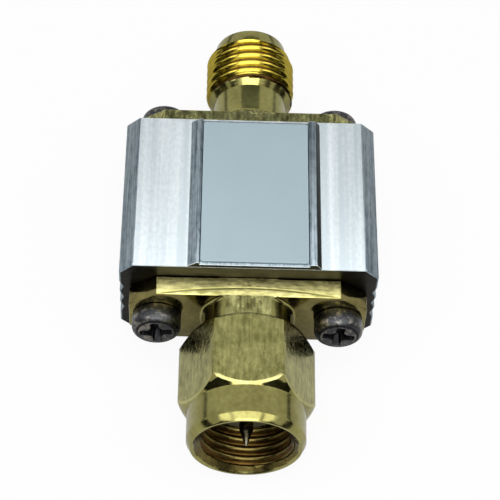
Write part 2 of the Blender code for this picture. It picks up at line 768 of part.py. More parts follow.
def add_solder(name, parent, side):
    """A dome of solder over the end of a tail, with the tail's own channel through it."""
    form = bmesh.new()
    bmesh.ops.create_uvsphere(form, u_segments=COARSE, v_segments=COARSE // 2, radius=SOLDER_RADIUS)
    squash = SOLDER_HEIGHT / SOLDER_RADIUS
    bmesh.ops.scale(form, verts=form.verts, vec=(1, 1, squash))
    tail_end = HOUSING_LENGTH / 2 - TAIL_LENGTH
    dome = from_bmesh(name, form)
    depth = 2 * SOLDER_RADIUS
    floor = TRACE_TOP + SEAT_GAP
    cut(dome, block("floor", (depth, depth, depth), (0, 0, floor - depth / 2)))
    form = bmesh.new()
    middle = Matrix.Translation((0, side * (depth / 2 - SLIP_GAP), 0)) @ Matrix.Rotation(math.pi / 2, 4, "X")
    tunnel = TAIL_RADIUS + SLIP_GAP
    bmesh.ops.create_cone(
        form, cap_ends=True, segments=SMALL, radius1=tunnel, radius2=tunnel, depth=depth, matrix=middle
    )
    cut(dome, from_bmesh("tail_channel", form))
    return complete(dome, "solder", parent, (0, side * tail_end, 0))


def build():
    quarter = math.pi / 2
    section = add_empty("section", (0, 0, AXIS_HEIGHT), (quarter, 0, 0))
    centre = add_empty("centre", (0, 0, AXIS_HEIGHT), (0, 0, 0))
    socket_end = add_empty("socket_end", (0, HOUSING_LENGTH / 2, AXIS_HEIGHT), (-quarter, 0, 0))
    plug_end = add_empty("plug_end", (0, -HOUSING_LENGTH / 2, AXIS_HEIGHT), (quarter, 0, 0))

    add_housing(section)
    add_label(section)

    add_female_body(socket_end)
    add_dielectric("female_dielectric", socket_end, SOCKET_PLANE)
    add_female_contact(socket_end)

    add_male_body(plug_end)
    add_dielectric("male_dielectric", plug_end, PLUG_PLANE)
    add_male_pin(plug_end)
    add_retaining_ring(plug_end)
    add_gasket(plug_end)
    add_coupling_nut(plug_end)

    for side_name, x in (("left", -SCREW_X), ("right", SCREW_X)):
        add_screw("female_screw_" + side_name, socket_end, x, SOCKET_FLANGE_TOP + SEAT_GAP)
        add_screw("male_screw_" + side_name, plug_end, x, PLUG_FLANGE_TOP + SEAT_GAP)

    add_board(centre)
    add_chip(centre)
    add_trace("input_trace", centre, -1)
    add_trace("output_trace", centre, 1)
    add_solder("input_solder", centre, -1)
    add_solder("output_solder", centre, 1)


build()
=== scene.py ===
import math

import bmesh
import bpy
from mathutils import Matrix, Vector


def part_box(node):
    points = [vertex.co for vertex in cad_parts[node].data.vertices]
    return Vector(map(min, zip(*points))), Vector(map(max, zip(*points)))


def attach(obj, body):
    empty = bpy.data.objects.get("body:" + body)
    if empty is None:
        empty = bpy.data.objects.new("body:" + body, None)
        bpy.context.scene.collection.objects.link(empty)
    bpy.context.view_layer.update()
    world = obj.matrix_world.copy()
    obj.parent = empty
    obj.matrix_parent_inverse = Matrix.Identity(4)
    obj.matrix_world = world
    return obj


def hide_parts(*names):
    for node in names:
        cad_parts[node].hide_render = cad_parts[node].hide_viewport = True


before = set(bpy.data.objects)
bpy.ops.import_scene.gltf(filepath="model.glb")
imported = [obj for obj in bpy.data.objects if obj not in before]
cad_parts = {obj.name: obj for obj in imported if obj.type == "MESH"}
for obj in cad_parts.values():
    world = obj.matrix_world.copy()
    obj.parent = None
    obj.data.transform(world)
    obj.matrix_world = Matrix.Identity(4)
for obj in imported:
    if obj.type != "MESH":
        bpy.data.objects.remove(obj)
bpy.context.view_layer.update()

MM = 0.001
QUARTER = math.pi / 2


def box_of(node):
    """A CAD node's lowest and highest corners, in millimetres."""
    return [[value / MM for value in corner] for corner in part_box(node)]


def ends_of(node):
    """A CAD node's lowest and highest places along Y, in millimetres."""
    return [corner[1] for corner in box_of(node)]


# Places read from the frame, in millimetres. The coaxial axis lies along Y at AXIS above the back face.
HALF_WIDTH, HALF_LENGTH = box_of("housing")[1][:2]
LABEL_LOW, LABEL_HIGH = box_of("label_plate")
SOCKET_LOW, SOCKET_HIGH = box_of("female_body")
PLATE_HALF_WIDTH, SOCKET_END = SOCKET_HIGH[:2]
PLUG_END = ends_of("male_body")[0]
PIN_TIP = ends_of("male_pin")[0]
CONTACT_END = ends_of("female_contact")[1]
SOCKET_CORE_FOOT, SOCKET_CORE_END = ends_of("female_dielectric")
PLUG_CORE_END, PLUG_CORE_FOOT = ends_of("male_dielectric")
GASKET_END, GASKET_START = ends_of("gasket")
NUT_FRONT, NUT_REAR = ends_of("coupling_nut")
AXIS = (SOCKET_LOW[2] + SOCKET_HIGH[2]) / 2
NUT_APOTHEM = box_of("coupling_nut")[1][2] - AXIS

# How near a corner or a face has to be to a plane to lie on it
NEAR = 0.01

# Facets round a turned piece. FACETS is a multiple of six, so that the hexagon's corners fall on them.
FACETS = 120
SMALL_FACETS = 72
CONTACT_FACETS = 64

# Housing section, about the axis
CORNER_CHAMFER = 0.92
GROOVE_PITCH = 1.22
GROOVE_WIDTH = 0.84
GROOVE_DEPTH = 0.18
CORNER_ROUND = 0.05
LIP_ROUND = 0.17
LAND_SHIFT = 0.33
LAND_WIDTH = 8.9
LAND_LEFT = LAND_SHIFT - LAND_WIDTH / 2
LAND_RIGHT = LAND_SHIFT + LAND_WIDTH / 2
LAND_TOP = AXIS + 0.42
LAND_ROOT = 0.4
LAND_FRONT_SETBACK = 0.01
LAND_REAR_SETBACK = 0.3
LEFT_FLANK = 0.62
RIGHT_FLANK = 0.3
LEFT_RAIL = 0.18
RIGHT_RAIL = 0.5
CHANNEL_DEPTH = 0.23
CAVITY_HALF = 4.18
CAVITY_HEIGHT = 4.5
BOARD_SLOT = 0.45
BOARD_SLOT_LOW = -1.01
BOARD_SLOT_HIGH = -0.41
TAPPED_RADIUS = 1.02

# Broken rims at the ends of the extrusion, as steps inwards and outwards, and the height of the top's rim
RIM_STEPS = ((0.03, 0.07), (0.07, 0.04))
LAND_RIM_STEPS = ((0.01, 0.025), (0.02, 0.01))
RIM_HEIGHT = 0.15

# Label
LABEL_CORNER = 0.16
LABEL_EDGE = 0.03

# Flanges. Drills reach OVERRUN past the metal, and the mill MILL_OVERRUN.
SEAT_GAP = 0.05
PLATE_FOOT = HALF_LENGTH + SEAT_GAP
SOCKET_TOP = PLATE_FOOT + 1.7
PLUG_TOP = PLATE_FOOT + 1.4
PLATE_HALF_HEIGHT = 2.64
PLATE_CHAMFER_ALONG = 1.85
PLATE_CHAMFER_ACROSS = 1.35
PLATE_EDGE = 0.07
PLATE_BORE = 2.35
SCREW_X = 6.1
SCREW_ROOM_RADIUS = 1.14
LIP = 0.5
OVERRUN = 1.0
MILL_OVERRUN = 0.5
MILL_HALF_WIDTH = 4.0
MILL_REACH = 5.0
MILLED_RADIUS = 2.5

# Turned edges: a plain break, and the point halfway round it where it is rounded
EDGE = 0.1
EDGE_KNEE = 0.03

# Socket body
BODY_BORE = 2.09
LIP_BORE = 1.74
MOUTH_RADIUS = 2.3
MOUTH_CURVE = ((0.11, 0.0), (0.03, 0.05), (0.0, 0.13))
SOCKET_PLANE = SOCKET_END - 1.95
NECK_RADIUS = 2.6
NECK_FILLET = 0.36
NECK_END = SOCKET_TOP + 2.5
PILOT_RADIUS = 2.55

# Socket thread. The run-out is the groove at its foot, and faces below ROOT_SHARE of its depth are painted
# dark, as shade in the grooves.
PITCH = 25.4 / 36
THREAD_POINTS = 12
THREAD_MAJOR = 3.17
THREAD_ROOT = 2.8
THREAD_PHASE = 0.41
THREAD_FOOT = 0.6
THREAD_END = NECK_END + 4.1
THREAD_LEAD = 0.3
RUN_OUT = NECK_END + 0.47
RUN_OUT_DEPTH = 0.32
RUN_OUT_HALF = 0.1
ROOT_SHARE = 0.36

# Plug body
BOSS_RADIUS = 3.04
BOSS_FILLET = 0.25
BOSS_END = -PLUG_TOP - 1.8
FERRULE_RADIUS = 2.85
FERRULE_END = BOSS_END - 2.95
RING_GROOVE = (-10.67, -11.22)
RING_GROOVE_RADIUS = 2.44
SLEEVE_RADIUS = 2.27
SLEEVE_MOUTH = 0.05

# Coupling nut
NUT_MINOR = 2.84
NUT_ROOT = 3.18
NUT_PHASE = 0.0
NUT_THREAD_FRONT = NUT_FRONT + 0.03
FLARE_RADIUS = 3.45
FLARE_TAPER = 1.22
CHAMBER_RADIUS = 3.34
CHAMBER_END = -12.52
REAR_WALL = 1.05
REAR_BORE = 2.93
REAR_FACE = 3.7
REAR_CHAMFER = 0.75
HEX_FRONT = NUT_REAR - 5.5
HEX_CORNER = 4.62
COLLAR_RADIUS = 3.885
CONE_RADIUS = 3.92
CONE_LENGTH = 1.1
# Faces of the nut's thread between DARK_FROM and DARK_TO, behind DARK_START, get the near-black gold of
# painted shade in its grooves
DARK_FROM = NUT_MINOR + 0.12
DARK_TO = NUT_ROOT + 0.05
DARK_START = NUT_FRONT + 0.5

# The blank's outline as radius and place: the rounded corners and the cone from the hexagon's front, and the
# collar's end from the nut's. The collar's inner points keep its side evenly shaded.
HEX_CURVE = (
    (HEX_CORNER, 1.5), (4.57, 1.05), (4.5, 0.78), (4.38, 0.54), (4.22, 0.33), (3.893, -0.007),
    (COLLAR_RADIUS, -0.06), (COLLAR_RADIUS, -0.2),
)
COLLAR_CURVE = (
    (COLLAR_RADIUS, 0.62), (COLLAR_RADIUS, 0.5), (3.86, 0.42), (3.66, 0.04), (3.62, 0.0), (3.49, 0.0),
    (FLARE_RADIUS, 0.03),
)

# Milled flats rise by FLAT_CROWN from their edges, in rings with a width and a share of the rise. The steep
# rings get a lighter gold, a painted highlight, for a short way behind the hexagon's front.
FLAT_CROWN = 0.044
FLAT_STEPS = ((0.1, 0.42), (0.1, 0.42), (0.05, 0.12), (0.05, 0.04))
STEEP_SHARE = 0.3
HIGHLIGHT_LENGTH = 0.9
FLAT_EDGE = 0.05
FLAT_MERGE = 0.03

# Contacts. The shoulder and the tail are inside the housing.
CONTACT_RADIUS = 0.65
SHOULDER_RADIUS = 0.95
SHOULDER_LENGTH = 0.3
SHOULDER_EDGE = 0.04
SMALL_EDGE = 0.03
TAIL_RADIUS = 0.3
TAIL_LENGTH = 2.1
TAIL_POINT = 0.08
PIN_RADIUS = 0.46
PIN_STEP = -14.97
PIN_CURVE = (
    (0, 0), (0.05, 0.005), (0.09, 0.03), (0.36, 0.88), (0.42, 1.02), (0.455, 1.16), (PIN_RADIUS, 1.24)
)
CONTACT_BORE = 0.48
CONTACT_FLARE = 0.56
CONTACT_DEPTH = 2.6
DRILL_POINT = 0.24
SLIT_HALF = 0.08
SLIT_DEPTH = 2.1

# Insulators and gasket
CORE_RADIUS = 2.04
CORE_NECK = 1.69
CORE_BORE = 0.7
GASKET_INNER = 2.32
GASKET_OUTER = 2.74
GASKET_EDGE = 0.12

# Screws
HEAD_HEIGHT = 1.32
HEAD_RADIUS = 1.64
HEAD_CURVE = ((0, HEAD_HEIGHT), (1.2, 1.31), (1.38, 1.25), (1.52, 1.14), (1.6, 1.01), (HEAD_RADIUS, 0.86))
HEAD_EDGE = (0.04, 0.06)
SHANK_RADIUS = 0.97
SHANK_LENGTH = 4.6
SHANK_POINT = 0.3
RECESS_DROP = 0.16
RECESS_RADIUS = 1.35
RECESS_FLOOR = 0.2
BLADE = (2.3, 1.15, 0.62)
BLADE_TOP = 1.14
BLADE_FOOT = 0.6
HEART_CURVE = ((0, -0.62), (0.28, -0.6), (0.72, 0.5), (0, 0.5))

# The curved line that a second cut leaves on the plug flange's top: its bend in 1/m, its place and width in
# millimetres, how much darker it is, and how much lighter the top is past it, over a short step
WITNESS_BEND = 16.0
WITNESS_PLACE = -7.05
WITNESS_WIDTH = 0.09
WITNESS_DARK = 0.2
WITNESS_LIGHT = 0.07
WITNESS_STEP = 0.2

# Studio, in metres. A wall has a radiance, a height, and an arc in degrees from straight in front. A panel
# overhead has its place along X and its width.
FLOOR_DROP = 0.73 * MM
FLOOR_REACH = 3.0
BACKDROP_WHITE = 0.93
WORLD_FILL = 0.05
WORLD_MIRRORED = 0.88
WALL_DISTANCE = 0.3
WALLS = (
    ("front_wall", 0.03, 0.08, -90, 90),
    ("left_front_wall", 0.03, 0.2, -50, -24),
    ("right_front_wall", 0.03, 0.2, 24, 50),
    ("rear_wall", 0.25, 0.04, 90, 270),
)
PANEL_Y = -0.16
PANEL_HEIGHT = 0.4
PANEL_LENGTH = 0.54
PANEL_RADIANCE = 2.3
PANELS = (
    ("overhead_panel", 0.0, 0.39),
    ("overhead_panel_left", -0.37, 0.24),
    ("overhead_panel_right", 0.37, 0.24),
)
FRONT_PANEL_PLACE = (0, -0.375, 0.255)
FRONT_PANEL_SIZE = (0.3, 0.24)
FRONT_PANEL_RADIANCE = 4.0
FRONT_PANEL_TARGET = (0, -0.01, 0.005)

# The dark card over the socket's neck, in millimetres
FLAG_LOW = (-15, 25.5, 31)
FLAG_HIGH = (15, 48, 31.2)
FLAG_RADIANCE = 0.3

# Camera as the photograph was taken, in degrees, millimetres and the photograph's pixels
CAMERA_RISE = math.radians(55.34)
CAMERA_SIDE = math.radians(1.59)
CAMERA_ROLL = math.radians(0.58)
CAMERA_DISTANCE = 129.39
CAMERA_RIGHT = 0.108
CAMERA_DOWN = 1.761
FOCAL_PIXELS = 1860
PHOTO_PIXELS = 500
SENSOR_WIDTH = 36


# Shader sums

class Signal:
    """A shader socket that Python sums can use."""

    def __init__(self, graph, socket):
        self.graph = graph
        self.socket = socket

    def sum(self, operation, first, second):
        return self.graph.add("ShaderNodeMath", {"operation": operation}, {0: first, 1: second})

    def __add__(self, other):
        return self.sum("ADD", self, other)

    def __radd__(self, other):
        return self.sum("ADD", other, self)

    def __sub__(self, other):
        return self.sum("SUBTRACT", self, other)

    def __rsub__(self, other):
        return self.sum("SUBTRACT", other, self)

    def __mul__(self, other):
        return self.sum("MULTIPLY", self, other)

    def __rmul__(self, other):
        return self.sum("MULTIPLY", other, self)


class Graph:
    """A node tree under construction."""

    def __init__(self, tree):
        self.tree = tree

    def add(self, kind, settings, values, output=0):
        node = self.tree.nodes.new(kind)
        for setting, value in settings.items():
            setattr(node, setting, value)
        for socket, value in values.items():
            if isinstance(value, Signal):
                self.tree.links.new(value.socket, node.inputs[socket])
            else:
                node.inputs[socket].default_value = value
        return Signal(self, node.outputs[output])

    def ray(self, kind):
        """1 where the ray is of the kind named, otherwise 0."""
        return self.add("ShaderNodeLightPath", {}, {}, kind)


class Finish(Graph):
    """A material under construction, on the object's own coordinates."""

    def __init__(self, name, **steady):
        self.material = bpy.data.materials.new(name)
        self.material.use_nodes = True
        super().__init__(self.material.node_tree)
        self.shader = self.tree.nodes["Principled BSDF"]
        for socket, value in steady.items():
            self.shader.inputs[socket.replace("_", " ")].default_value = value
        self.place = self.add("ShaderNodeTexCoord", {}, {}, "Object")

    def axis(self, name):
        """One of the object's coordinates, in metres."""
        return self.add("ShaderNodeSeparateXYZ", {}, {0: self.place}, name)

    def noise(self, scale, detail=2.0, rough=0.5):
        """Noise with its own scale along each axis, in features to the metre."""
        spot = self.add("ShaderNodeVectorMath", {"operation": "MULTIPLY"}, {0: self.place, 1: scale})
        values = {"Vector": spot, "Scale": 1.0, "Detail": detail, "Roughness": rough}
        return self.add("ShaderNodeTexNoise", {}, values)

    def stretch(self, signal, low, high, start=0.0, end=1.0):
        """Turns low to high into start to end, and holds what lies outside."""
        values = {"Value": signal, "From Min": low, "From Max": high, "To Min": start, "To Max": end}
        return self.add("ShaderNodeMapRange", {"clamp": True}, values)

    def paint(self, tone, low, high, dull, clean):
        """The colour goes from dull to clean as the tone goes from low to high."""
        values = {"Factor": self.stretch(tone, low, high), 6: (*dull, 1.0), 7: (*clean, 1.0)}
        self.feed("Base Color", self.add("ShaderNodeMix", {"data_type": "RGBA"}, values, 2))

    def roughen(self, tone, low, high, least, most):
        """The roughness goes from least to most as the tone goes from low to high."""
        self.feed("Roughness", self.stretch(tone, low, high, least, most))

    def bump(self, height, depth):
        """Raises the surface by up to depth millimetres."""
        values = {"Strength": 1.0, "Distance": depth * MM, "Height": height}
        self.feed("Normal", self.add("ShaderNodeBump", {}, values))

    def feed(self, socket, signal):
        self.tree.links.new(signal.socket, self.shader.inputs[socket])


def extruded_aluminium():
    """The housing's two top faces: a bright satin grain with broad, soft bands along the extrusion."""
    finish = Finish("extruded_aluminium", Metallic=0.35)
    bands = finish.noise((1500, 30, 1500), 2)
    grain = finish.noise((4300, 2600, 4300), 4, 0.6)
    finish.paint(bands * 0.7 + grain * 0.3, 0.4, 0.6, (0.56, 0.64, 0.675), (0.78, 0.84, 0.86))
    finish.roughen(grain, 0.35, 0.65, 0.42, 0.52)
    finish.bump(bands * 0.7 + grain * 0.4, 0.006)
    return finish.material


def drawn_aluminium():
    """The housing's chamfers, sides and rails: blue-grey, with die lines along them."""
    finish = Finish("drawn_aluminium", Metallic=1.0)
    lines = finish.noise((11000, 160, 11000), 3)
    grain = finish.noise((3600, 1500, 3600), 4, 0.6)
    finish.paint(lines * 0.65 + grain * 0.35, 0.36, 0.64, (0.1, 0.135, 0.158), (0.36, 0.425, 0.465))
    finish.roughen(grain * 0.5 + lines * 0.5, 0.35, 0.65, 0.26, 0.42)
    finish.bump(lines * 0.7 + grain * 0.4, 0.01)
    return finish.material


def sawn_aluminium_painted_shade():
    """The housing's ends: cut across and brown-grey, with a near-black colour that is painted shade; the
    land's steep flank takes it too.
    """
    finish = Finish("sawn_aluminium_painted_shade", Metallic=1.0)
    cuts = finish.noise((500, 500, 11000), 3)
    haze = finish.noise((900, 900, 900), 2)
    finish.paint(cuts * 0.5 + haze * 0.5, 0.35, 0.65, (0.01, 0.009, 0.008), (0.03, 0.028, 0.025))
    finish.roughen(haze, 0.3, 0.7, 0.28, 0.42)
    finish.bump(cuts, 0.006)
    return finish.material


def turned_gold(name, dull, clean, rough, depth=0.003):
    """Plated brass off the lathe: faint rings round the axis under a hazy, uneven plating."""
    finish = Finish(name, Metallic=1.0)
    rings = finish.noise((220, 15000, 220), 2)
    haze = finish.noise((620, 520, 620), 3)
    spots = finish.noise((3400, 3400, 3400), 3)
    tone = haze * 0.6 + spots * 0.4
    finish.paint(tone, 0.36, 0.64, dull, clean)
    finish.roughen(tone, 0.35, 0.65, rough, rough + 0.12)
    finish.bump(rings * 0.6 + spots * 0.5, depth)
    return finish.material


def milled_gold(name, dull, clean, coarse, lay, depth, rough, witness=False):
    """Plated flats with the cutter's grain laid along one axis, and if asked the line of a second cut."""
    finish = Finish(name, Metallic=1.0)

    def laid(scale, share):
        return tuple(scale * share if axis == lay else scale for axis in "XYZ")

    grain = finish.noise(laid(coarse, 0.6), 2)
    fine = finish.noise(laid(coarse * 2, 0.65), 1)
    strokes = finish.noise(laid(5500, 0.13), 1)
    haze = finish.noise(laid(700, 0.7), 2)
    tone = grain * 0.4 + haze * 0.3 + strokes * 0.3
    height = grain * 0.6 + fine * 0.25 + strokes * 0.15
    if witness:
        x = finish.axis("X")
        past = finish.axis("Y") + x * x * WITNESS_BEND - WITNESS_PLACE * MM
        beside = finish.stretch(past * past, 0.0, (WITNESS_WIDTH * MM) ** 2)
        beyond = finish.stretch(past, 0.0, WITNESS_STEP * MM)
        tone = tone + beside * WITNESS_DARK + beyond * WITNESS_LIGHT - (WITNESS_DARK + 0.01)
        height = height * 0.5 + beside * 0.5
        depth = depth * 2
    finish.paint(tone, 0.38, 0.62, dull, clean)
    finish.roughen(fine, 0.3, 0.7, rough, rough + 0.16)
    finish.bump(height, depth)
    return finish.material


def gunmetal():
    """Dark screw plating, slightly brown where it is worn."""
    finish = Finish("gunmetal", Metallic=1.0)
    wear = finish.noise((1500, 1500, 1500), 3, 0.6)
    grain = finish.noise((6500, 6500, 6500), 3)
    finish.paint(wear, 0.5, 0.7, (0.05, 0.052, 0.054), (0.26, 0.235, 0.2))
    finish.roughen(grain, 0.3, 0.7, 0.24, 0.44)
    finish.bump(grain * 0.6 + wear * 0.4, 0.045)
    return finish.material


def label_film():
    """Plain matt film, pale blue-grey, with a faint unevenness from its adhesive."""
    finish = Finish("label_film", Specular_IOR_Level=0.3)
    specks = finish.noise((7000, 7000, 7000), 2)
    cloud = finish.noise((380, 260, 380), 2)
    finish.paint(specks * 0.4 + cloud * 0.6, 0.3, 0.7, (0.43, 0.545, 0.598), (0.452, 0.567, 0.62))
    finish.roughen(specks, 0.3, 0.7, 0.45, 0.58)
    finish.bump(cloud * 0.7 + specks * 0.15, 0.008)
    return finish.material


def plain_solid(name, low, high, scale, rough, depth=0.006, **steady):
    """A finish that varies softly between two colours, for the painted shade in screw recesses and for the
    small parts inside.
    """
    finish = Finish(name, **steady)
    broad = finish.noise((scale, scale, scale), 3)
    fine = finish.noise((scale * 6, scale * 6, scale * 6), 2)
    finish.paint(broad * 0.6 + fine * 0.4, 0.35, 0.65, low, high)
    finish.roughen(fine, 0.3, 0.7, rough, rough + 0.12)
    finish.bump(fine, depth)
    return finish.material


EXTRUDED = extruded_aluminium()
DRAWN = drawn_aluminium()
SAWN_SHADED = sawn_aluminium_painted_shade()
GOLD = turned_gold("turned_gold", (0.21, 0.19, 0.06), (0.32, 0.3, 0.105), 0.1)
# Faced gold: a real low roughness, and a darker base than the turned gold that is painted shade on the plug
# flange's front face and its chamfered corners
POLISHED_SHADED = turned_gold("faced_gold_painted_shade", (0.15, 0.125, 0.045), (0.25, 0.215, 0.08), 0.06, 0.0015)
# Brighter, more amber gold on the socket thread: its brightness and tint are a painted reflection of light
# bounced between the thread's flanks
CREST_BOUNCE_GOLD = turned_gold("thread_crest_painted_bounce_gold", (0.34, 0.26, 0.032), (0.44, 0.35, 0.05), 0.08)
# Near-black gold on the threads' low faces: painted shade in the grooves
ROOT_SHADE_GOLD = turned_gold("thread_root_painted_shade_gold", (0.03, 0.016, 0.004), (0.08, 0.045, 0.01), 0.25)
# Dark gold inside the plug's bore and the nut's chamber: painted shade
BORE_SHADE_GOLD = turned_gold("bore_painted_shade_gold", (0.06, 0.045, 0.014), (0.15, 0.12, 0.035), 0.2)
CONE_GOLD = turned_gold("chamfer_gold", (0.2, 0.18, 0.055), (0.32, 0.29, 0.1), 0.04, 0.001)
# Lighter gold: a painted highlight on the steep rings round the nut's flats
EDGE_HIGHLIGHT_GOLD = turned_gold("edge_painted_highlight_gold", (0.33, 0.31, 0.12), (0.46, 0.43, 0.19), 0.1, 0.002)
STRIP_GOLD = milled_gold(
    "milled_edge_gold", (0.32, 0.3, 0.105), (0.82, 0.76, 0.33), 2600, "X", 0.012, 0.28, witness=True
)
BOSS_GOLD = milled_gold("milled_boss_gold", (0.11, 0.1, 0.032), (0.52, 0.5, 0.21), 2500, "Y", 0.1, 0.12)
FLAT_GOLD = milled_gold("milled_flat_gold", (0.18, 0.172, 0.056), (0.38, 0.36, 0.14), 3000, "Y", 0.026, 0.12)
# Darker plating on the pin: painted shade, as it stands deep in the plug's mouth
PIN_SHADED_PLATING = turned_gold("pin_plating_painted_shade", (0.16, 0.15, 0.11), (0.34, 0.31, 0.23), 0.14)
GUNMETAL = gunmetal()
# Near-black in the screw recesses: painted shade
RECESS_SHADE = plain_solid(
    "recess_painted_shade", (0.008, 0.008, 0.009), (0.03, 0.03, 0.032), 3000, 0.4, Metallic=1.0
)
FILM = label_film()
INSULATOR = plain_solid("white_insulator", (0.62, 0.6, 0.5), (0.74, 0.72, 0.63), 900, 0.38)
# Dark olive on the plug's insulator: painted shade, as it sits deep inside the gold sleeve
SHADED_INSULATOR = plain_solid("insulator_painted_shade", (0.13, 0.11, 0.055), (0.2, 0.175, 0.1), 900, 0.38)
RUBBER = plain_solid("grey_rubber", (0.05, 0.045, 0.04), (0.09, 0.08, 0.07), 2200, 0.62, 0.02)
BRONZE = plain_solid("spring_bronze", (0.38, 0.23, 0.09), (0.52, 0.35, 0.15), 1500, 0.24, Metallic=1.0)
LAMINATE = plain_solid("board_laminate", (0.02, 0.11, 0.05), (0.035, 0.17, 0.08), 2500, 0.42, 0.01)
CERAMIC = plain_solid("ceramic", (0.42, 0.4, 0.34), (0.58, 0.56, 0.5), 3000, 0.5, 0.012)
COPPER = plain_solid("copper_foil", (0.55, 0.24, 0.11), (0.7, 0.36, 0.2), 1800, 0.26, Metallic=1.0)
SOLDER = plain_solid("solder", (0.45, 0.46, 0.47), (0.64, 0.65, 0.66), 2000, 0.2, 0.02, Metallic=1.0)


# Shapes, drawn in millimetres

def chain(form, points, closed=False):
    """Joins the points with edges, and gives both back."""
    corners = [form.verts.new(point) for point in points]
    following = corners[1:] + corners[:1] if closed else corners[1:]
    return corners, [form.edges.new(pair) for pair in zip(corners, following)]


def spin_round(form, profile, closed=False, steps=FACETS, rise=0.0):
    """Turns (radius, along) points round Y, rising by one pitch for a thread. Gives the new vertices."""
    known = set(form.verts)
    corners, edges = chain(form, [(radius, along, 0) for radius, along in profile], closed)
    bmesh.ops.spin(
        form, geom=corners + edges, cent=(0, 0, 0), axis=(0, 1, 0), dvec=(0, rise / steps, 0),
        angle=2 * math.pi, steps=steps, use_merge=rise == 0,
    )
    return [vertex for vertex in form.verts if vertex not in known]


def close_up(form):
    """Merges what coincides and points every face outwards."""
    bmesh.ops.remove_doubles(form, verts=form.verts, dist=0.0005)
    bmesh.ops.recalc_face_normals(form, faces=form.faces)


def turned(profile, closed=False, steps=FACETS):
    """A closed turned solid."""
    form = bmesh.new()
    spin_round(form, profile, closed, steps)
    close_up(form)
    return form


def thread_profile(start, end, crest, root, phase):
    """Points of a round-topped thread past both ends, with its crests whole pitches from phase."""
    first = math.floor((start - phase) / PITCH) - 1
    last = math.ceil((end - phase) / PITCH)
    points = []
    for step in range(first * THREAD_POINTS, last * THREAD_POINTS + 1):
        turns = step / THREAD_POINTS
        share = (1 + math.cos(2 * math.pi * turns)) / 2
        points.append((root + (crest - root) * share, phase + turns * PITCH))
    return points


def cut_thread(form, start, end, crest, root, phase, limit):
    """A right-handed thread between two circles. limit gives the radius that it may not pass at a point."""
    outside = crest > root
    for vertex in spin_round(form, thread_profile(start, end, crest, root, phase), rise=PITCH):
        radius = math.hypot(vertex.co.x, vertex.co.z)
        held = min(max(vertex.co.y, start), end)
        bound = limit(held)
        if held == vertex.co.y:
            wanted = min(radius, bound) if outside else max(radius, bound)
        else:
            wanted = bound
        vertex.co.x *= wanted / radius
        vertex.co.z *= wanted / radius
        vertex.co.y = held


def rounded_edge(radius, end, side):
    """The outer edge of a turned end, from its side to its face."""
    return [(radius, end - side * EDGE), (radius - EDGE_KNEE, end - side * EDGE_KNEE), (radius - EDGE, end)]


def sharp_edges(form, angle, choose):
    limit = math.radians(angle)
    return [e for e in form.edges if e.is_manifold and e.calc_face_angle() > limit and choose(e)]


def bevel(form, items, width, segments, affect):
    bmesh.ops.bevel(
        form, geom=items, offset=width, offset_type="OFFSET", segments=segments, profile=0.5,
        affect=affect, clamp_overlap=True, material=-1,
    )


def soften(form, edges, width, segments=2):
    bevel(form, edges, width, segments, "EDGES")


def upright_edges(form, axis, least):
    """The edges that climb by more than least along an axis."""
    return [e for e in form.edges if abs(e.verts[0].co[axis] - e.verts[1].co[axis]) > least]


def draw_up(form, vector):
    """Extrudes the form's flat section along the vector, and points every face outwards."""
    made = bmesh.ops.extrude_face_region(form, geom=list(form.faces))["geom"]
    moved = [item for item in made if isinstance(item, bmesh.types.BMVert)]
    bmesh.ops.translate(form, vec=vector, verts=moved)
    bmesh.ops.recalc_face_normals(form, faces=form.faces)


def slab(form, low, high):
    """A block between two corners."""
    made = bmesh.ops.create_cube(form, size=1)["verts"]
    bmesh.ops.scale(form, vec=[b - a for a, b in zip(low, high)], verts=made)
    bmesh.ops.translate(form, vec=[(a + b) / 2 for a, b in zip(low, high)], verts=made)


def drum(form, radius, start, end, x):
    """A plain cylinder along Y."""
    spot = Matrix.Translation((x, (start + end) / 2, 0)) @ Matrix.Rotation(QUARTER, 4, "X")
    bmesh.ops.create_cone(
        form, cap_ends=True, segments=48, radius1=radius, radius2=radius, depth=abs(end - start), matrix=spot
    )


def as_object(name, form):
    mesh = bpy.data.meshes.new(name)
    form.to_mesh(mesh)
    form.free()
    shape = bpy.data.objects.new(name, mesh)
    bpy.context.scene.collection.objects.link(shape)
    return shape


def combine(form, tool, operation):
    """Joins one closed shape to another, or cuts the other away."""
    base = as_object("base", form)
    other = as_object("tool", tool)
    boolean = base.modifiers.new("combine", "BOOLEAN")
    boolean.operation = operation
    boolean.solver = "EXACT"
    boolean.object = other
    bpy.context.view_layer.update()
    graph = bpy.context.evaluated_depsgraph_get()
    made = bpy.data.meshes.new_from_object(base.evaluated_get(graph))
    result = bmesh.new()
    result.from_mesh(made)
    for spent in (base.data, other.data, made):
        bpy.data.meshes.remove(spent)
    return result


def along_of(face):
    return face.calc_center_median().y


def radius_of(face):
    centre = face.calc_center_median()
    return math.hypot(centre.x, centre.z)


def mark(form, finish, test):
    """Gives the faces that pass the test the finish with that number."""
    for face in form.faces:
        if test(face):
            face.material_index = finish


def piece(name, form, materials, nodes, body="filter_body", smooth=32, height=AXIS):
    """Scales the shape to metres, lifts it to the axis, and puts it on its CAD body in its node's place."""
    bmesh.ops.translate(form, vec=(0, 0, height), verts=form.verts)
    bmesh.ops.scale(form, vec=(MM, MM, MM), verts=form.verts)
    shape = as_object(name, form)
    for material in materials:
        shape.data.materials.append(material)
    shape.data.shade_smooth()
    shape.data.set_sharp_from_angle(angle=math.radians(smooth))
    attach(shape, body)
    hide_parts(*nodes)


# Housing and label

def mirrored(right):
    """A whole outline from its right half, listed from bottom to top."""
    return right + [(-x, z) for x, z in reversed(right)]


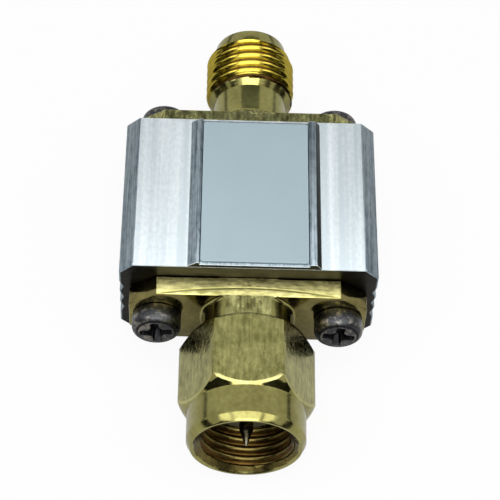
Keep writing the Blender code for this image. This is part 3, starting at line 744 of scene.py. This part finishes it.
def body_corners():
    """The octagon of the extrusion with three notches along each side."""
    inset = HALF_WIDTH - CORNER_CHAMFER
    right = [(inset, -AXIS), (HALF_WIDTH, CORNER_CHAMFER - AXIS)]
    for step in (-1, 0, 1):
        middle = step * GROOVE_PITCH
        right += [
            (HALF_WIDTH, middle - GROOVE_WIDTH / 2),
            (HALF_WIDTH - GROOVE_DEPTH, middle),
            (HALF_WIDTH, middle + GROOVE_WIDTH / 2),
        ]
    return mirrored(right + [(HALF_WIDTH, AXIS - CORNER_CHAMFER), (inset, AXIS)])


def cavity_corners():
    """The hollow for the circuit, with a slot along each side that holds the board's edges."""
    half = CAVITY_HEIGHT / 2
    wide = CAVITY_HALF + BOARD_SLOT
    return mirrored([
        (CAVITY_HALF, -half), (CAVITY_HALF, BOARD_SLOT_LOW), (wide, BOARD_SLOT_LOW),
        (wide, BOARD_SLOT_HIGH), (CAVITY_HALF, BOARD_SLOT_HIGH), (CAVITY_HALF, half),
    ])


def land_corners():
    """The raised land that carries the label, from inside the body up, with its channel and two rails."""
    low = AXIS - LAND_ROOT
    right = LAND_RIGHT - RIGHT_FLANK
    left = LAND_LEFT + LEFT_FLANK
    floor = LAND_TOP - CHANNEL_DEPTH
    return [
        (LAND_LEFT, low), (LAND_RIGHT, low), (LAND_RIGHT, AXIS), (right, LAND_TOP),
        (right - RIGHT_RAIL, LAND_TOP), (right - RIGHT_RAIL, floor), (left + LEFT_RAIL, floor),
        (left + LEFT_RAIL, LAND_TOP), (left, LAND_TOP), (LAND_LEFT, AXIS),
    ]


def flat_face(form, corners, y=0):
    """A face across the axis, from its corners."""
    return form.faces.new([form.verts.new((x, y, z)) for x, z in corners])


def draw_out(form, start, end, rim_steps):
    """Extrudes the flat section at the origin along Y, and breaks the rims at both ends."""
    depth = sum(step for _, step in rim_steps)
    bmesh.ops.translate(form, vec=(0, start + depth, 0), verts=form.verts)
    draw_up(form, (0, end - start - 2 * depth, 0))
    for side in (-1, 1):
        ends = [f for f in form.faces if f.normal.y * side > 0.99]
        for thickness, step in rim_steps:
            bmesh.ops.inset_region(
                form, faces=ends, thickness=thickness, depth=step, use_even_offset=True, use_boundary=True
            )


def housing_body():
    """The octagon with its hollow, its board slots and the tapped holes."""
    form = bmesh.new()
    face = flat_face(form, body_corners())
    lips = [v for v in face.verts if abs(v.co.x) > HALF_WIDTH - NEAR and abs(v.co.z) < 2 * GROOVE_PITCH]
    rest = [v for v in face.verts if v not in lips]
    bevel(form, lips, LIP_ROUND, 5, "VERTICES")
    bevel(form, rest, CORNER_ROUND, 3, "VERTICES")
    bmesh.ops.delete(form, geom=list(form.faces), context="FACES_ONLY")
    chain(form, [(x, 0, z) for x, z in cavity_corners()], closed=True)
    for x in (-SCREW_X, SCREW_X):
        spot = Matrix.Translation((x, 0, 0)) @ Matrix.Rotation(QUARTER, 4, "X")
        bmesh.ops.create_circle(form, cap_ends=False, segments=32, radius=TAPPED_RADIUS, matrix=spot)
    bmesh.ops.triangle_fill(form, edges=form.edges, use_beauty=True, use_dissolve=False)
    draw_out(form, -HALF_LENGTH, HALF_LENGTH, RIM_STEPS)
    return form


def housing_land():
    form = bmesh.new()
    face = flat_face(form, land_corners())
    bevel(form, [v for v in face.verts if v.co.z > AXIS + NEAR], CORNER_ROUND, 3, "VERTICES")
    draw_out(form, LAND_FRONT_SETBACK - HALF_LENGTH, HALF_LENGTH - LAND_REAR_SETBACK, LAND_RIM_STEPS)
    return form


def is_painted_dark(face):
    """Whether a face gets painted shade: one of the sawn ends, or the land's steep right flank."""
    middle = face.calc_center_median()
    steep = middle.z > AXIS and face.normal.x > 0.5 and middle.x > LAND_RIGHT - RIGHT_FLANK
    return abs(face.normal.y) > 0.95 or steep


def is_satin(face):
    """Whether a face is one of the two top faces, or a broken rim at their ends."""
    middle = face.calc_center_median()
    on_top = abs(middle.z - AXIS) < NEAR and face.normal.z > 0.99
    return on_top or (abs(face.normal.y) > 0.3 and middle.z > AXIS - RIM_HEIGHT)


def add_housing():
    satin, painted_dark, drawn = range(3)
    form = combine(housing_body(), housing_land(), "UNION")
    mark(form, drawn, lambda f: True)
    mark(form, satin, is_satin)
    # The ends and the steep flank get painted shade
    mark(form, painted_dark, is_painted_dark)
    piece("housing_extrusion", form, [EXTRUDED, SAWN_SHADED, DRAWN], ["housing"], smooth=28)


def add_label():
    """A thin film with rounded corners and a softened edge, bare."""
    form = bmesh.new()
    slab(form, LABEL_LOW, LABEL_HIGH)
    soften(form, upright_edges(form, 2, NEAR), LABEL_CORNER, 5)
    rim = sharp_edges(form, 40, lambda e: min(v.co.z for v in e.verts) > LABEL_HIGH[2] - NEAR)
    soften(form, rim, LABEL_EDGE)
    piece("label", form, [FILM], ["label_plate"], smooth=40, height=0.0)


# Flanged bodies

def plate(inner, outer):
    """The flange between two places along the axis: chamfered corners, edges just broken."""
    along = PLATE_HALF_WIDTH - PLATE_CHAMFER_ALONG
    across = PLATE_HALF_HEIGHT - PLATE_CHAMFER_ACROSS
    form = bmesh.new()
    flat_face(form, mirrored([
        (along, -PLATE_HALF_HEIGHT), (PLATE_HALF_WIDTH, -across),
        (PLATE_HALF_WIDTH, across), (along, PLATE_HALF_HEIGHT),
    ]), inner)
    draw_up(form, (0, outer - inner, 0))
    soften(form, list(form.edges), PLATE_EDGE, 3)
    return form


def drill(form, radius, start, end, *places):
    for x in places:
        tool = bmesh.new()
        drum(tool, radius, start, end, x)
        form = combine(form, tool, "DIFFERENCE")
    return form


def mill_flats(form, start, end):
    """Mills a turned side level with the flange's two long edges."""
    for side in (-1, 1):
        tool = bmesh.new()
        low, high = sorted((side * PLATE_HALF_HEIGHT, side * MILL_REACH))
        slab(tool, (-MILL_HALF_WIDTH, start, low), (MILL_HALF_WIDTH, end, high))
        form = combine(form, tool, "DIFFERENCE")
    return form


def flanged(tube, side, top):
    """Joins the plate and the tube that stands on it, and drills the screw holes."""
    past = (side * (HALF_LENGTH - OVERRUN), side * (top + OVERRUN))
    body = plate(side * PLATE_FOOT, side * top)
    body = drill(body, PLATE_BORE, *past, 0.0)
    body = combine(body, tube, "UNION")
    return drill(body, SCREW_ROOM_RADIUS, *past, -SCREW_X, SCREW_X)


def fillet(radius, size, foot, side):
    """The hollow round between the plate and a turned side, from the plate up."""
    turns = [step * QUARTER / 6 for step in range(6, -1, -1)]
    return [(radius + size * (1 - math.cos(t)), foot + side * size * (1 - math.sin(t))) for t in turns]


def is_strip(face, top):
    """Whether a face is one of the flange's narrow sides or a milled flat level with them."""
    height = abs(face.calc_center_median().z)
    level = abs(face.normal.z) > 0.99 and abs(height - PLATE_HALF_HEIGHT) < 2 * NEAR
    around = abs(face.normal.y) < 0.5 and radius_of(face) > MILLED_RADIUS
    return level or (around and abs(along_of(face)) < top - 5 * NEAR)


def socket_limit(along):
    """The barrel's outline: its chamfers at both ends of the thread, and the thread's outside."""
    foot = NECK_RADIUS + (THREAD_MAJOR - NECK_RADIUS) * (along - NECK_END) / THREAD_FOOT
    lead = PILOT_RADIUS + (THREAD_MAJOR - PILOT_RADIUS) * (THREAD_END - along) / THREAD_LEAD
    groove = max(0, RUN_OUT_DEPTH - 2 * abs(along - RUN_OUT))
    return min(foot, lead, THREAD_MAJOR - groove)


def is_thread_root(face):
    """Whether a face lies low in the thread and not on the chamfers at its ends, or in the run-out."""
    along = along_of(face)
    radius = radius_of(face)
    low = THREAD_ROOT + ROOT_SHARE * (THREAD_MAJOR - THREAD_ROOT)
    deep = NECK_END < along < THREAD_END and radius < min(low, socket_limit(along) - EDGE_KNEE)
    return radius > NECK_RADIUS and (deep or abs(along - RUN_OUT) < RUN_OUT_HALF)


def add_socket_body():
    """Flange and threaded barrel in one piece, open at its mouth for the mating pin and sleeve."""
    milled, crest, root = range(1, 4)
    seat = PLATE_FOOT + LIP
    tube = bmesh.new()
    spin_round(tube, [
        (PILOT_RADIUS, THREAD_END), *rounded_edge(PILOT_RADIUS, SOCKET_END, 1),
        *((MOUTH_RADIUS + wider, SOCKET_END - deeper) for wider, deeper in MOUTH_CURVE),
        (MOUTH_RADIUS, SOCKET_PLANE), (BODY_BORE, SOCKET_PLANE), (BODY_BORE, seat), (LIP_BORE, seat),
        (LIP_BORE, PLATE_FOOT), (NECK_RADIUS + NECK_FILLET, PLATE_FOOT),
        *fillet(NECK_RADIUS, NECK_FILLET, SOCKET_TOP, 1), (NECK_RADIUS, NECK_END),
    ])
    cut_thread(tube, NECK_END, THREAD_END, THREAD_MAJOR, THREAD_ROOT, THREAD_PHASE, socket_limit)
    close_up(tube)
    tube = mill_flats(tube, PLATE_FOOT - MILL_OVERRUN, SOCKET_TOP + NECK_FILLET)
    body = flanged(tube, 1, SOCKET_TOP)
    mark(body, milled, lambda f: is_strip(f, SOCKET_TOP) and along_of(f) < SOCKET_TOP + NECK_FILLET)
    # The whole thread gets the amber gold of painted bounce light
    mark(body, crest, lambda f: RUN_OUT + 5 * NEAR < along_of(f) < THREAD_END and radius_of(f) > NECK_RADIUS)
    # The thread's low faces and the run-out get painted shade
    mark(body, root, is_thread_root)
    piece("socket_body", body, [GOLD, BOSS_GOLD, CREST_BOUNCE_GOLD, ROOT_SHADE_GOLD], ["female_body"])


def add_plug_body():
    """Flange, flattened boss, ferrule with the ring's groove, and the outer contact sleeve, in one piece."""
    strip, polished, bore, boss = range(1, 5)
    seat = -PLATE_FOOT - LIP
    tube = turned([
        (LIP_BORE, -PLATE_FOOT), (BOSS_RADIUS + BOSS_FILLET, -PLATE_FOOT),
        *fillet(BOSS_RADIUS, BOSS_FILLET, -PLUG_TOP, -1),
        (BOSS_RADIUS, BOSS_END + EDGE), (BOSS_RADIUS - EDGE, BOSS_END), (FERRULE_RADIUS, BOSS_END),
        (FERRULE_RADIUS, RING_GROOVE[0]), (RING_GROOVE_RADIUS, RING_GROOVE[0]),
        (RING_GROOVE_RADIUS, RING_GROOVE[1]), (FERRULE_RADIUS, RING_GROOVE[1]),
        (FERRULE_RADIUS, FERRULE_END + EDGE), (FERRULE_RADIUS - EDGE, FERRULE_END),
        (SLEEVE_RADIUS, FERRULE_END), *rounded_edge(SLEEVE_RADIUS, PLUG_END, -1),
        (BODY_BORE + EDGE_KNEE, PLUG_END), (BODY_BORE, PLUG_END + SLEEVE_MOUTH),
        (BODY_BORE, seat), (LIP_BORE, seat),
    ], closed=True)
    tube = mill_flats(tube, BOSS_END, MILL_OVERRUN - HALF_LENGTH)
    body = flanged(tube, -1, PLUG_TOP)
    # The flange's front face gets the darker, painted-shade gold
    mark(body, polished, lambda f: f.normal.y < -0.9 and abs(along_of(f) + PLUG_TOP) < 2 * NEAR)
    # The bore behind the sleeve's end gets painted shade
    mark(body, bore, lambda f: along_of(f) < FERRULE_END - 5 * NEAR)
    mark(body, strip, lambda f: is_strip(f, PLUG_TOP) and along_of(f) > BOSS_END - 5 * NEAR)
    mark(body, boss, lambda f: f.material_index == strip and along_of(f) < -PLUG_TOP - EDGE)
    mark(body, polished, lambda f: f.material_index == strip and abs(f.normal.x) > 0.4)
    piece("plug_body", body, [GOLD, STRIP_GOLD, POLISHED_SHADED, BORE_SHADE_GOLD, BOSS_GOLD], ["male_body"])


# Coupling nut

def nut_mouth(along):
    """The bore's outline inside the nut: a flare at the mouth and a taper at the chamber."""
    flare = FLARE_RADIUS - FLARE_TAPER * (along - NUT_THREAD_FRONT)
    return max(NUT_MINOR, flare, CHAMBER_RADIUS - (CHAMBER_END - along))


def nut_blank():
    """The turned blank, from the ring's chamber round the rear and the hexagon's corners to the mouth."""
    wall = NUT_REAR - REAR_WALL
    return [
        (CHAMBER_RADIUS, CHAMBER_END), (CHAMBER_RADIUS, wall), (REAR_BORE, wall),
        (REAR_BORE, NUT_REAR - EDGE), (REAR_BORE + EDGE, NUT_REAR), (REAR_FACE, NUT_REAR),
        (HEX_CORNER, NUT_REAR - REAR_CHAMFER),
        *((radius, HEX_FRONT + along) for radius, along in HEX_CURVE),
        *((radius, NUT_FRONT + along) for radius, along in COLLAR_CURVE),
    ]


def mill_hexagon(form, flat):
    """Cuts six flats, lower than they end up by the crown, and merges what is close along their outlines."""
    for index in range(6):
        turn = math.radians(30 + 60 * index)
        normal = Vector((math.cos(turn), 0, math.sin(turn)))
        bmesh.ops.bisect_plane(
            form, geom=list(form.verts) + list(form.edges) + list(form.faces), dist=0.0001,
            plane_co=normal * (NUT_APOTHEM - FLAT_CROWN), plane_no=normal, clear_outer=True,
        )
        open_edges = [e for e in form.edges if e.is_boundary]
        for face in bmesh.ops.holes_fill(form, edges=open_edges, sides=0)["faces"]:
            face.material_index = flat
    outline = [v for v in form.verts if any(f.material_index == flat for f in v.link_faces)]
    bmesh.ops.remove_doubles(form, verts=outline, dist=FLAT_MERGE)
    bmesh.ops.recalc_face_normals(form, faces=form.faces)


def crown_flats(form, flat, highlighted):
    """Raises the flats ring by ring, and softens the edges round them."""
    flats = [f for f in form.faces if f.material_index == flat]
    for thickness, share in FLAT_STEPS:
        ring = bmesh.ops.inset_individual(
            form, faces=flats, thickness=thickness, depth=share * FLAT_CROWN, use_even_offset=True
        )
        for face in ring["faces"]:
            # Steep rings near the hexagon's front get the lighter gold of a painted highlight
            if share > STEEP_SHARE and along_of(face) < HEX_FRONT + HIGHLIGHT_LENGTH:
                face.material_index = highlighted
    edges = sharp_edges(form, 20, lambda e: any(f.material_index in (flat, highlighted) for f in e.link_faces))
    soften(form, edges, FLAT_EDGE)


def add_nut():
    """A turned blank with its thread cut, then six milled flats with soft edges."""
    plain, flat, bore, root, cone, highlighted = range(6)
    form = bmesh.new()
    spin_round(form, nut_blank())
    cut_thread(form, NUT_THREAD_FRONT, CHAMBER_END, NUT_MINOR, NUT_ROOT, NUT_PHASE, nut_mouth)
    close_up(form)
    mill_hexagon(form, flat)
    crown_flats(form, flat, highlighted)

    def on_cone(face):
        behind = along_of(face) - HEX_FRONT
        return 2 * NEAR < behind < CONE_LENGTH and radius_of(face) > CONE_RADIUS

    # The nut's bore gets painted shade
    mark(form, bore, lambda f: f.material_index == plain and radius_of(f) < CHAMBER_RADIUS + 5 * NEAR)
    mark(form, cone, lambda f: f.material_index == plain and on_cone(f))
    # The nut thread's grooves get painted shade
    mark(form, root, lambda f: DARK_FROM < radius_of(f) < DARK_TO and along_of(f) > DARK_START)
    finishes = [GOLD, FLAT_GOLD, BORE_SHADE_GOLD, ROOT_SHADE_GOLD, CONE_GOLD, EDGE_HIGHLIGHT_GOLD]
    piece("coupling_nut_turned", form, finishes, ["coupling_nut"], body="nut")


# Contacts, insulators, gasket

def tail(front, outward):
    """The end of a contact inside the housing: a shoulder behind the insulator and a thin tail."""
    edge = SHOULDER_RADIUS - SHOULDER_EDGE
    back = front - SHOULDER_LENGTH * outward
    tip = front - TAIL_LENGTH * outward
    return [
        (CONTACT_RADIUS, front), (edge, front), (SHOULDER_RADIUS, front - SHOULDER_EDGE * outward),
        (SHOULDER_RADIUS, back + SMALL_EDGE * outward), (edge, back), (TAIL_RADIUS, back),
        (TAIL_RADIUS, tip + EDGE * outward), (TAIL_RADIUS - TAIL_POINT, tip), (0, tip),
    ]


def add_pin():
    """The plug's pin, pointed at its tip and thick where its insulator holds it."""
    form = turned([
        *((radius, PIN_TIP + along) for radius, along in PIN_CURVE), (PIN_RADIUS, PIN_STEP - SMALL_EDGE),
        (PIN_RADIUS + 0.01, PIN_STEP), (CONTACT_RADIUS - SMALL_EDGE, PIN_STEP),
        (CONTACT_RADIUS, PIN_STEP + SMALL_EDGE), *tail(-HALF_LENGTH, -1),
    ], steps=CONTACT_FACETS)
    piece("centre_pin", form, [PIN_SHADED_PLATING], ["male_pin"])


def add_socket_contact():
    """A socket for the mating pin, flared at its mouth and split into four fingers."""
    form = turned([
        (0, CONTACT_END - CONTACT_DEPTH - DRILL_POINT), (CONTACT_BORE, CONTACT_END - CONTACT_DEPTH),
        (CONTACT_BORE, CONTACT_END - EDGE), (CONTACT_FLARE - 0.04, CONTACT_END - SMALL_EDGE),
        (CONTACT_FLARE, CONTACT_END), (CONTACT_RADIUS - 0.02, CONTACT_END),
        (CONTACT_RADIUS, CONTACT_END - SMALL_EDGE), *tail(HALF_LENGTH, 1),
    ], steps=CONTACT_FACETS)
    for across, up in ((OVERRUN, SLIT_HALF), (SLIT_HALF, OVERRUN)):
        tool = bmesh.new()
        slab(tool, (-across, CONTACT_END - SLIT_DEPTH, -up), (across, CONTACT_END + OVERRUN, up))
        form = combine(form, tool, "DIFFERENCE")
    piece("socket_contact", form, [GOLD], ["female_contact"])


def add_insulator(name, node, base, front, finish):
    """Fills its body's bore and steps down to a neck at the flange, with its front edges just broken."""
    outward = 1 if front > base else -1
    step = base + LIP * outward
    form = turned([
        (CORE_NECK, base), (CORE_NECK, step), (CORE_RADIUS, step), (CORE_RADIUS, front - 0.05 * outward),
        (CORE_RADIUS - 0.05, front), (CORE_BORE + 0.04, front), (CORE_BORE, front - 0.04 * outward),
        (CORE_BORE, base),
    ], closed=True, steps=SMALL_FACETS)
    piece(name, form, [finish], [node])


def add_gasket():
    form = turned([
        (GASKET_INNER + 0.04, GASKET_START), (GASKET_OUTER - 0.05, GASKET_START),
        (GASKET_OUTER - 0.02, GASKET_START - 0.04), (GASKET_OUTER, GASKET_START - GASKET_EDGE),
        (GASKET_OUTER, GASKET_END + GASKET_EDGE), (GASKET_OUTER - 0.02, GASKET_END + 0.04),
        (GASKET_OUTER - 0.08, GASKET_END), (GASKET_INNER + 0.06, GASKET_END),
        (GASKET_INNER + 0.01, GASKET_END + 0.05), (GASKET_INNER, GASKET_END + GASKET_EDGE),
        (GASKET_INNER, GASKET_START - 0.05),
    ], closed=True, steps=SMALL_FACETS)
    piece("rubber_gasket", form, [RUBBER], ["gasket"])


# Screws

def recess(turn):
    """A cross of two tapered blades with a cone at its heart, along Y, under the head's crown."""
    blades = []
    for index in range(2):
        form = bmesh.new()
        for v in bmesh.ops.create_cube(form, size=1)["verts"]:
            share = BLADE_TOP if v.co.y > 0 else BLADE_FOOT
            v.co = (v.co.x * BLADE[0] * share, v.co.y * BLADE[1], v.co.z * BLADE[2] * share)
        soften(form, upright_edges(form, 1, BLADE[1] / 2), EDGE, 3)
        spin = Matrix.Rotation(turn + index * QUARTER, 3, "Y")
        bmesh.ops.rotate(form, verts=form.verts, cent=(0, 0, 0), matrix=spin)
        blades.append(form)
    shape = combine(combine(*blades, "UNION"), turned(HEART_CURVE, steps=32), "UNION")
    bmesh.ops.translate(shape, vec=(0, HEAD_HEIGHT - RECESS_DROP, 0), verts=shape.verts)
    return shape


def add_screw(name, node, x, outward, turn):
    """A pan head with a flat crown and a rounded rim, its cross recess, and the shank in its hole."""
    inset, rise = HEAD_EDGE
    form = turned([
        *HEAD_CURVE, (HEAD_RADIUS, rise), (HEAD_RADIUS - inset, 0), (SHANK_RADIUS, 0),
        (SHANK_RADIUS, SHANK_POINT - SHANK_LENGTH), (SHANK_RADIUS - SHANK_POINT, -SHANK_LENGTH),
        (0, -SHANK_LENGTH),
    ], steps=SMALL_FACETS)
    form = combine(form, recess(turn), "DIFFERENCE")
    top = HEAD_HEIGHT - 2 * NEAR
    # The recess faces get painted shade
    mark(form, 1, lambda f: RECESS_FLOOR < along_of(f) < top and radius_of(f) < RECESS_RADIUS)
    if outward < 0:
        bmesh.ops.rotate(form, verts=form.verts, cent=(0, 0, 0), matrix=Matrix.Rotation(math.pi, 3, "X"))
    seat = (SOCKET_TOP if outward > 0 else PLUG_TOP) + SEAT_GAP
    bmesh.ops.translate(form, vec=(x, outward * seat, 0), verts=form.verts)
    piece(name, form, [GUNMETAL, RECESS_SHADE], [node], smooth=38)


def dress_hidden_parts():
    """The parts that stay as the CAD has them get their own finishes."""
    finishes = {
        "retaining_ring": BRONZE, "circuit_board": LAMINATE, "filter_chip": CERAMIC,
        "input_trace": COPPER, "output_trace": COPPER, "input_solder": SOLDER, "output_solder": SOLDER,
    }
    for name, finish in finishes.items():
        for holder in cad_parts[name].material_slots:
            holder.material = finish


# Studio

def stage_material(name, colour, radiance=0.0):
    """Matt and even. A card has a faint blue-white light of its own as well."""
    material = bpy.data.materials.new(name)
    material.use_nodes = True
    shader = material.node_tree.nodes["Principled BSDF"]
    shader.inputs["Base Color"].default_value = (*colour, 1.0)
    shader.inputs["Roughness"].default_value = 0.9
    shader.inputs["Specular IOR Level"].default_value = 0.1
    shader.inputs["Emission Color"].default_value = (0.85, 0.93, 1.0, 1.0)
    shader.inputs["Emission Strength"].default_value = radiance
    return material


def add_card(name, form, radiance):
    """A card that only shows as a reflection in the metal."""
    shape = as_object(name, form)
    shape.data.materials.append(stage_material(name, (0.0, 0.0, 0.0), radiance))
    shape.visible_camera = False
    shape.visible_diffuse = False
    shape.visible_shadow = False


def add_floor():
    """A pale floor, which the camera sees almost white."""
    form = bmesh.new()
    bmesh.ops.create_grid(form, x_segments=8, y_segments=8, size=FLOOR_REACH)
    bmesh.ops.translate(form, vec=(0, 0, -FLOOR_DROP), verts=form.verts)
    material = stage_material("pale_floor", (0.93, 0.93, 0.93))
    graph = Graph(material.node_tree)
    plain = Signal(graph, graph.tree.nodes["Principled BSDF"].outputs[0])
    white = graph.add("ShaderNodeEmission", {}, {"Color": (1.0, 1.0, 1.0, 1.0), "Strength": 1.0})
    share = graph.ray("Is Camera Ray") * BACKDROP_WHITE
    mixed = graph.add("ShaderNodeMixShader", {}, {0: share, 1: plain, 2: white})
    graph.tree.links.new(mixed.socket, graph.tree.nodes["Material Output"].inputs["Surface"])
    floor = as_object("floor", form)
    floor.data.materials.append(material)


def add_walls():
    """Upright curved cards round the part: dark ones in front, a low grey one behind."""
    for name, radiance, height, start, end in WALLS:
        form = bmesh.new()
        ring = bmesh.ops.create_circle(form, cap_ends=False, segments=180, radius=WALL_DISTANCE)["verts"]
        middle = math.radians((start + end) / 2)
        reach = math.cos(math.radians((end - start) / 2)) * WALL_DISTANCE
        spare = [v for v in ring if v.co.x * math.sin(middle) - v.co.y * math.cos(middle) < reach - MM]
        bmesh.ops.delete(form, geom=spare, context="VERTS")
        made = bmesh.ops.extrude_edge_only(form, edges=list(form.edges))["geom"]
        top = [item for item in made if isinstance(item, bmesh.types.BMVert)]
        bmesh.ops.translate(form, vec=(0, 0, height), verts=top)
        add_card(name, form, radiance)


def add_flag():
    """A small dark card that hangs level over the socket's neck."""
    form = bmesh.new()
    slab(form, FLAG_LOW, FLAG_HIGH)
    bmesh.ops.scale(form, vec=(MM, MM, MM), verts=form.verts)
    add_card("neck_flag", form, FLAG_RADIANCE)


def add_light(name, place, size_x, size_y, radiance, target):
    lamp = bpy.data.lights.new(name, "AREA")
    lamp.shape = "RECTANGLE"
    lamp.size = size_x
    lamp.size_y = size_y
    lamp.energy = radiance * math.pi * size_x * size_y
    holder = bpy.data.objects.new(name, lamp)
    bpy.context.scene.collection.objects.link(holder)
    holder.location = place
    aim = Vector(target) - Vector(place)
    holder.rotation_euler = aim.to_track_quat("-Z", "Y").to_euler()
    holder.visible_camera = False
    return holder


def add_lights():
    """Three soft panels side by side overhead, and one low in front that only the metal mirrors."""
    for name, x, width in PANELS:
        add_light(name, (x, PANEL_Y, PANEL_HEIGHT), width, PANEL_LENGTH, PANEL_RADIANCE, (x, PANEL_Y, 0.0))
    front = add_light(
        "front_panel", FRONT_PANEL_PLACE, *FRONT_PANEL_SIZE, FRONT_PANEL_RADIANCE, FRONT_PANEL_TARGET
    )
    front.visible_diffuse = False


def add_world():
    """White where the camera looks, less in the metal, and a faint fill for everything else."""
    world = bpy.data.worlds.new("studio")
    bpy.context.scene.world = world
    world.use_nodes = True
    graph = Graph(world.node_tree)
    background = graph.tree.nodes["Background"]
    background.inputs["Color"].default_value = (1.0, 1.0, 1.0, 1.0)
    seen = graph.ray("Is Camera Ray") * (1 - WORLD_FILL)
    mirrored_light = graph.ray("Is Glossy Ray") * (WORLD_MIRRORED - WORLD_FILL)
    level = seen + mirrored_light + WORLD_FILL
    graph.tree.links.new(level.socket, background.inputs["Strength"])


def add_camera():
    """Stands over the plug's end, a degree or two to one side and a little rolled."""
    lift = math.sin(CAMERA_RISE)
    back = Vector((-math.sin(CAMERA_SIDE) * lift, -math.cos(CAMERA_RISE), math.cos(CAMERA_SIDE) * lift))
    across = Vector((0, 1, 0)).cross(back).normalized()
    up = back.cross(across)
    level = math.cos(CAMERA_ROLL) * across + math.sin(CAMERA_ROLL) * up
    upright = math.cos(CAMERA_ROLL) * up - math.sin(CAMERA_ROLL) * across
    spot = Vector((0, 0, AXIS)) + CAMERA_DISTANCE * back + CAMERA_RIGHT * level - CAMERA_DOWN * upright
    lens = bpy.data.cameras.new("camera")
    lens.sensor_width = SENSOR_WIDTH
    lens.lens = SENSOR_WIDTH * FOCAL_PIXELS / PHOTO_PIXELS
    lens.clip_start = 0.004
    camera = bpy.data.objects.new("camera", lens)
    bpy.context.scene.collection.objects.link(camera)
    turn = Matrix((level, upright, back)).transposed().to_4x4()
    camera.matrix_world = Matrix.Translation(spot * MM) @ turn
    bpy.context.scene.camera = camera


def build():
    add_housing()
    add_label()
    add_socket_body()
    add_plug_body()
    add_nut()
    add_pin()
    add_socket_contact()
    add_insulator("socket_insulator", "female_dielectric", SOCKET_CORE_FOOT, SOCKET_CORE_END, INSULATOR)
    add_insulator("plug_insulator", "male_dielectric", PLUG_CORE_FOOT, PLUG_CORE_END, SHADED_INSULATOR)
    add_gasket()
    add_screw("socket_screw_left", "female_screw_left", -SCREW_X, 1, 0.3)
    add_screw("socket_screw_right", "female_screw_right", SCREW_X, 1, -0.5)
    add_screw("plug_screw_left", "male_screw_left", -SCREW_X, -1, 0.12)
    add_screw("plug_screw_right", "male_screw_right", SCREW_X, -1, -0.12)
    dress_hidden_parts()
    add_floor()
    add_walls()
    add_flag()
    add_lights()
    add_world()
    add_camera()
    bpy.context.scene.view_settings.view_transform = "Standard"


build()
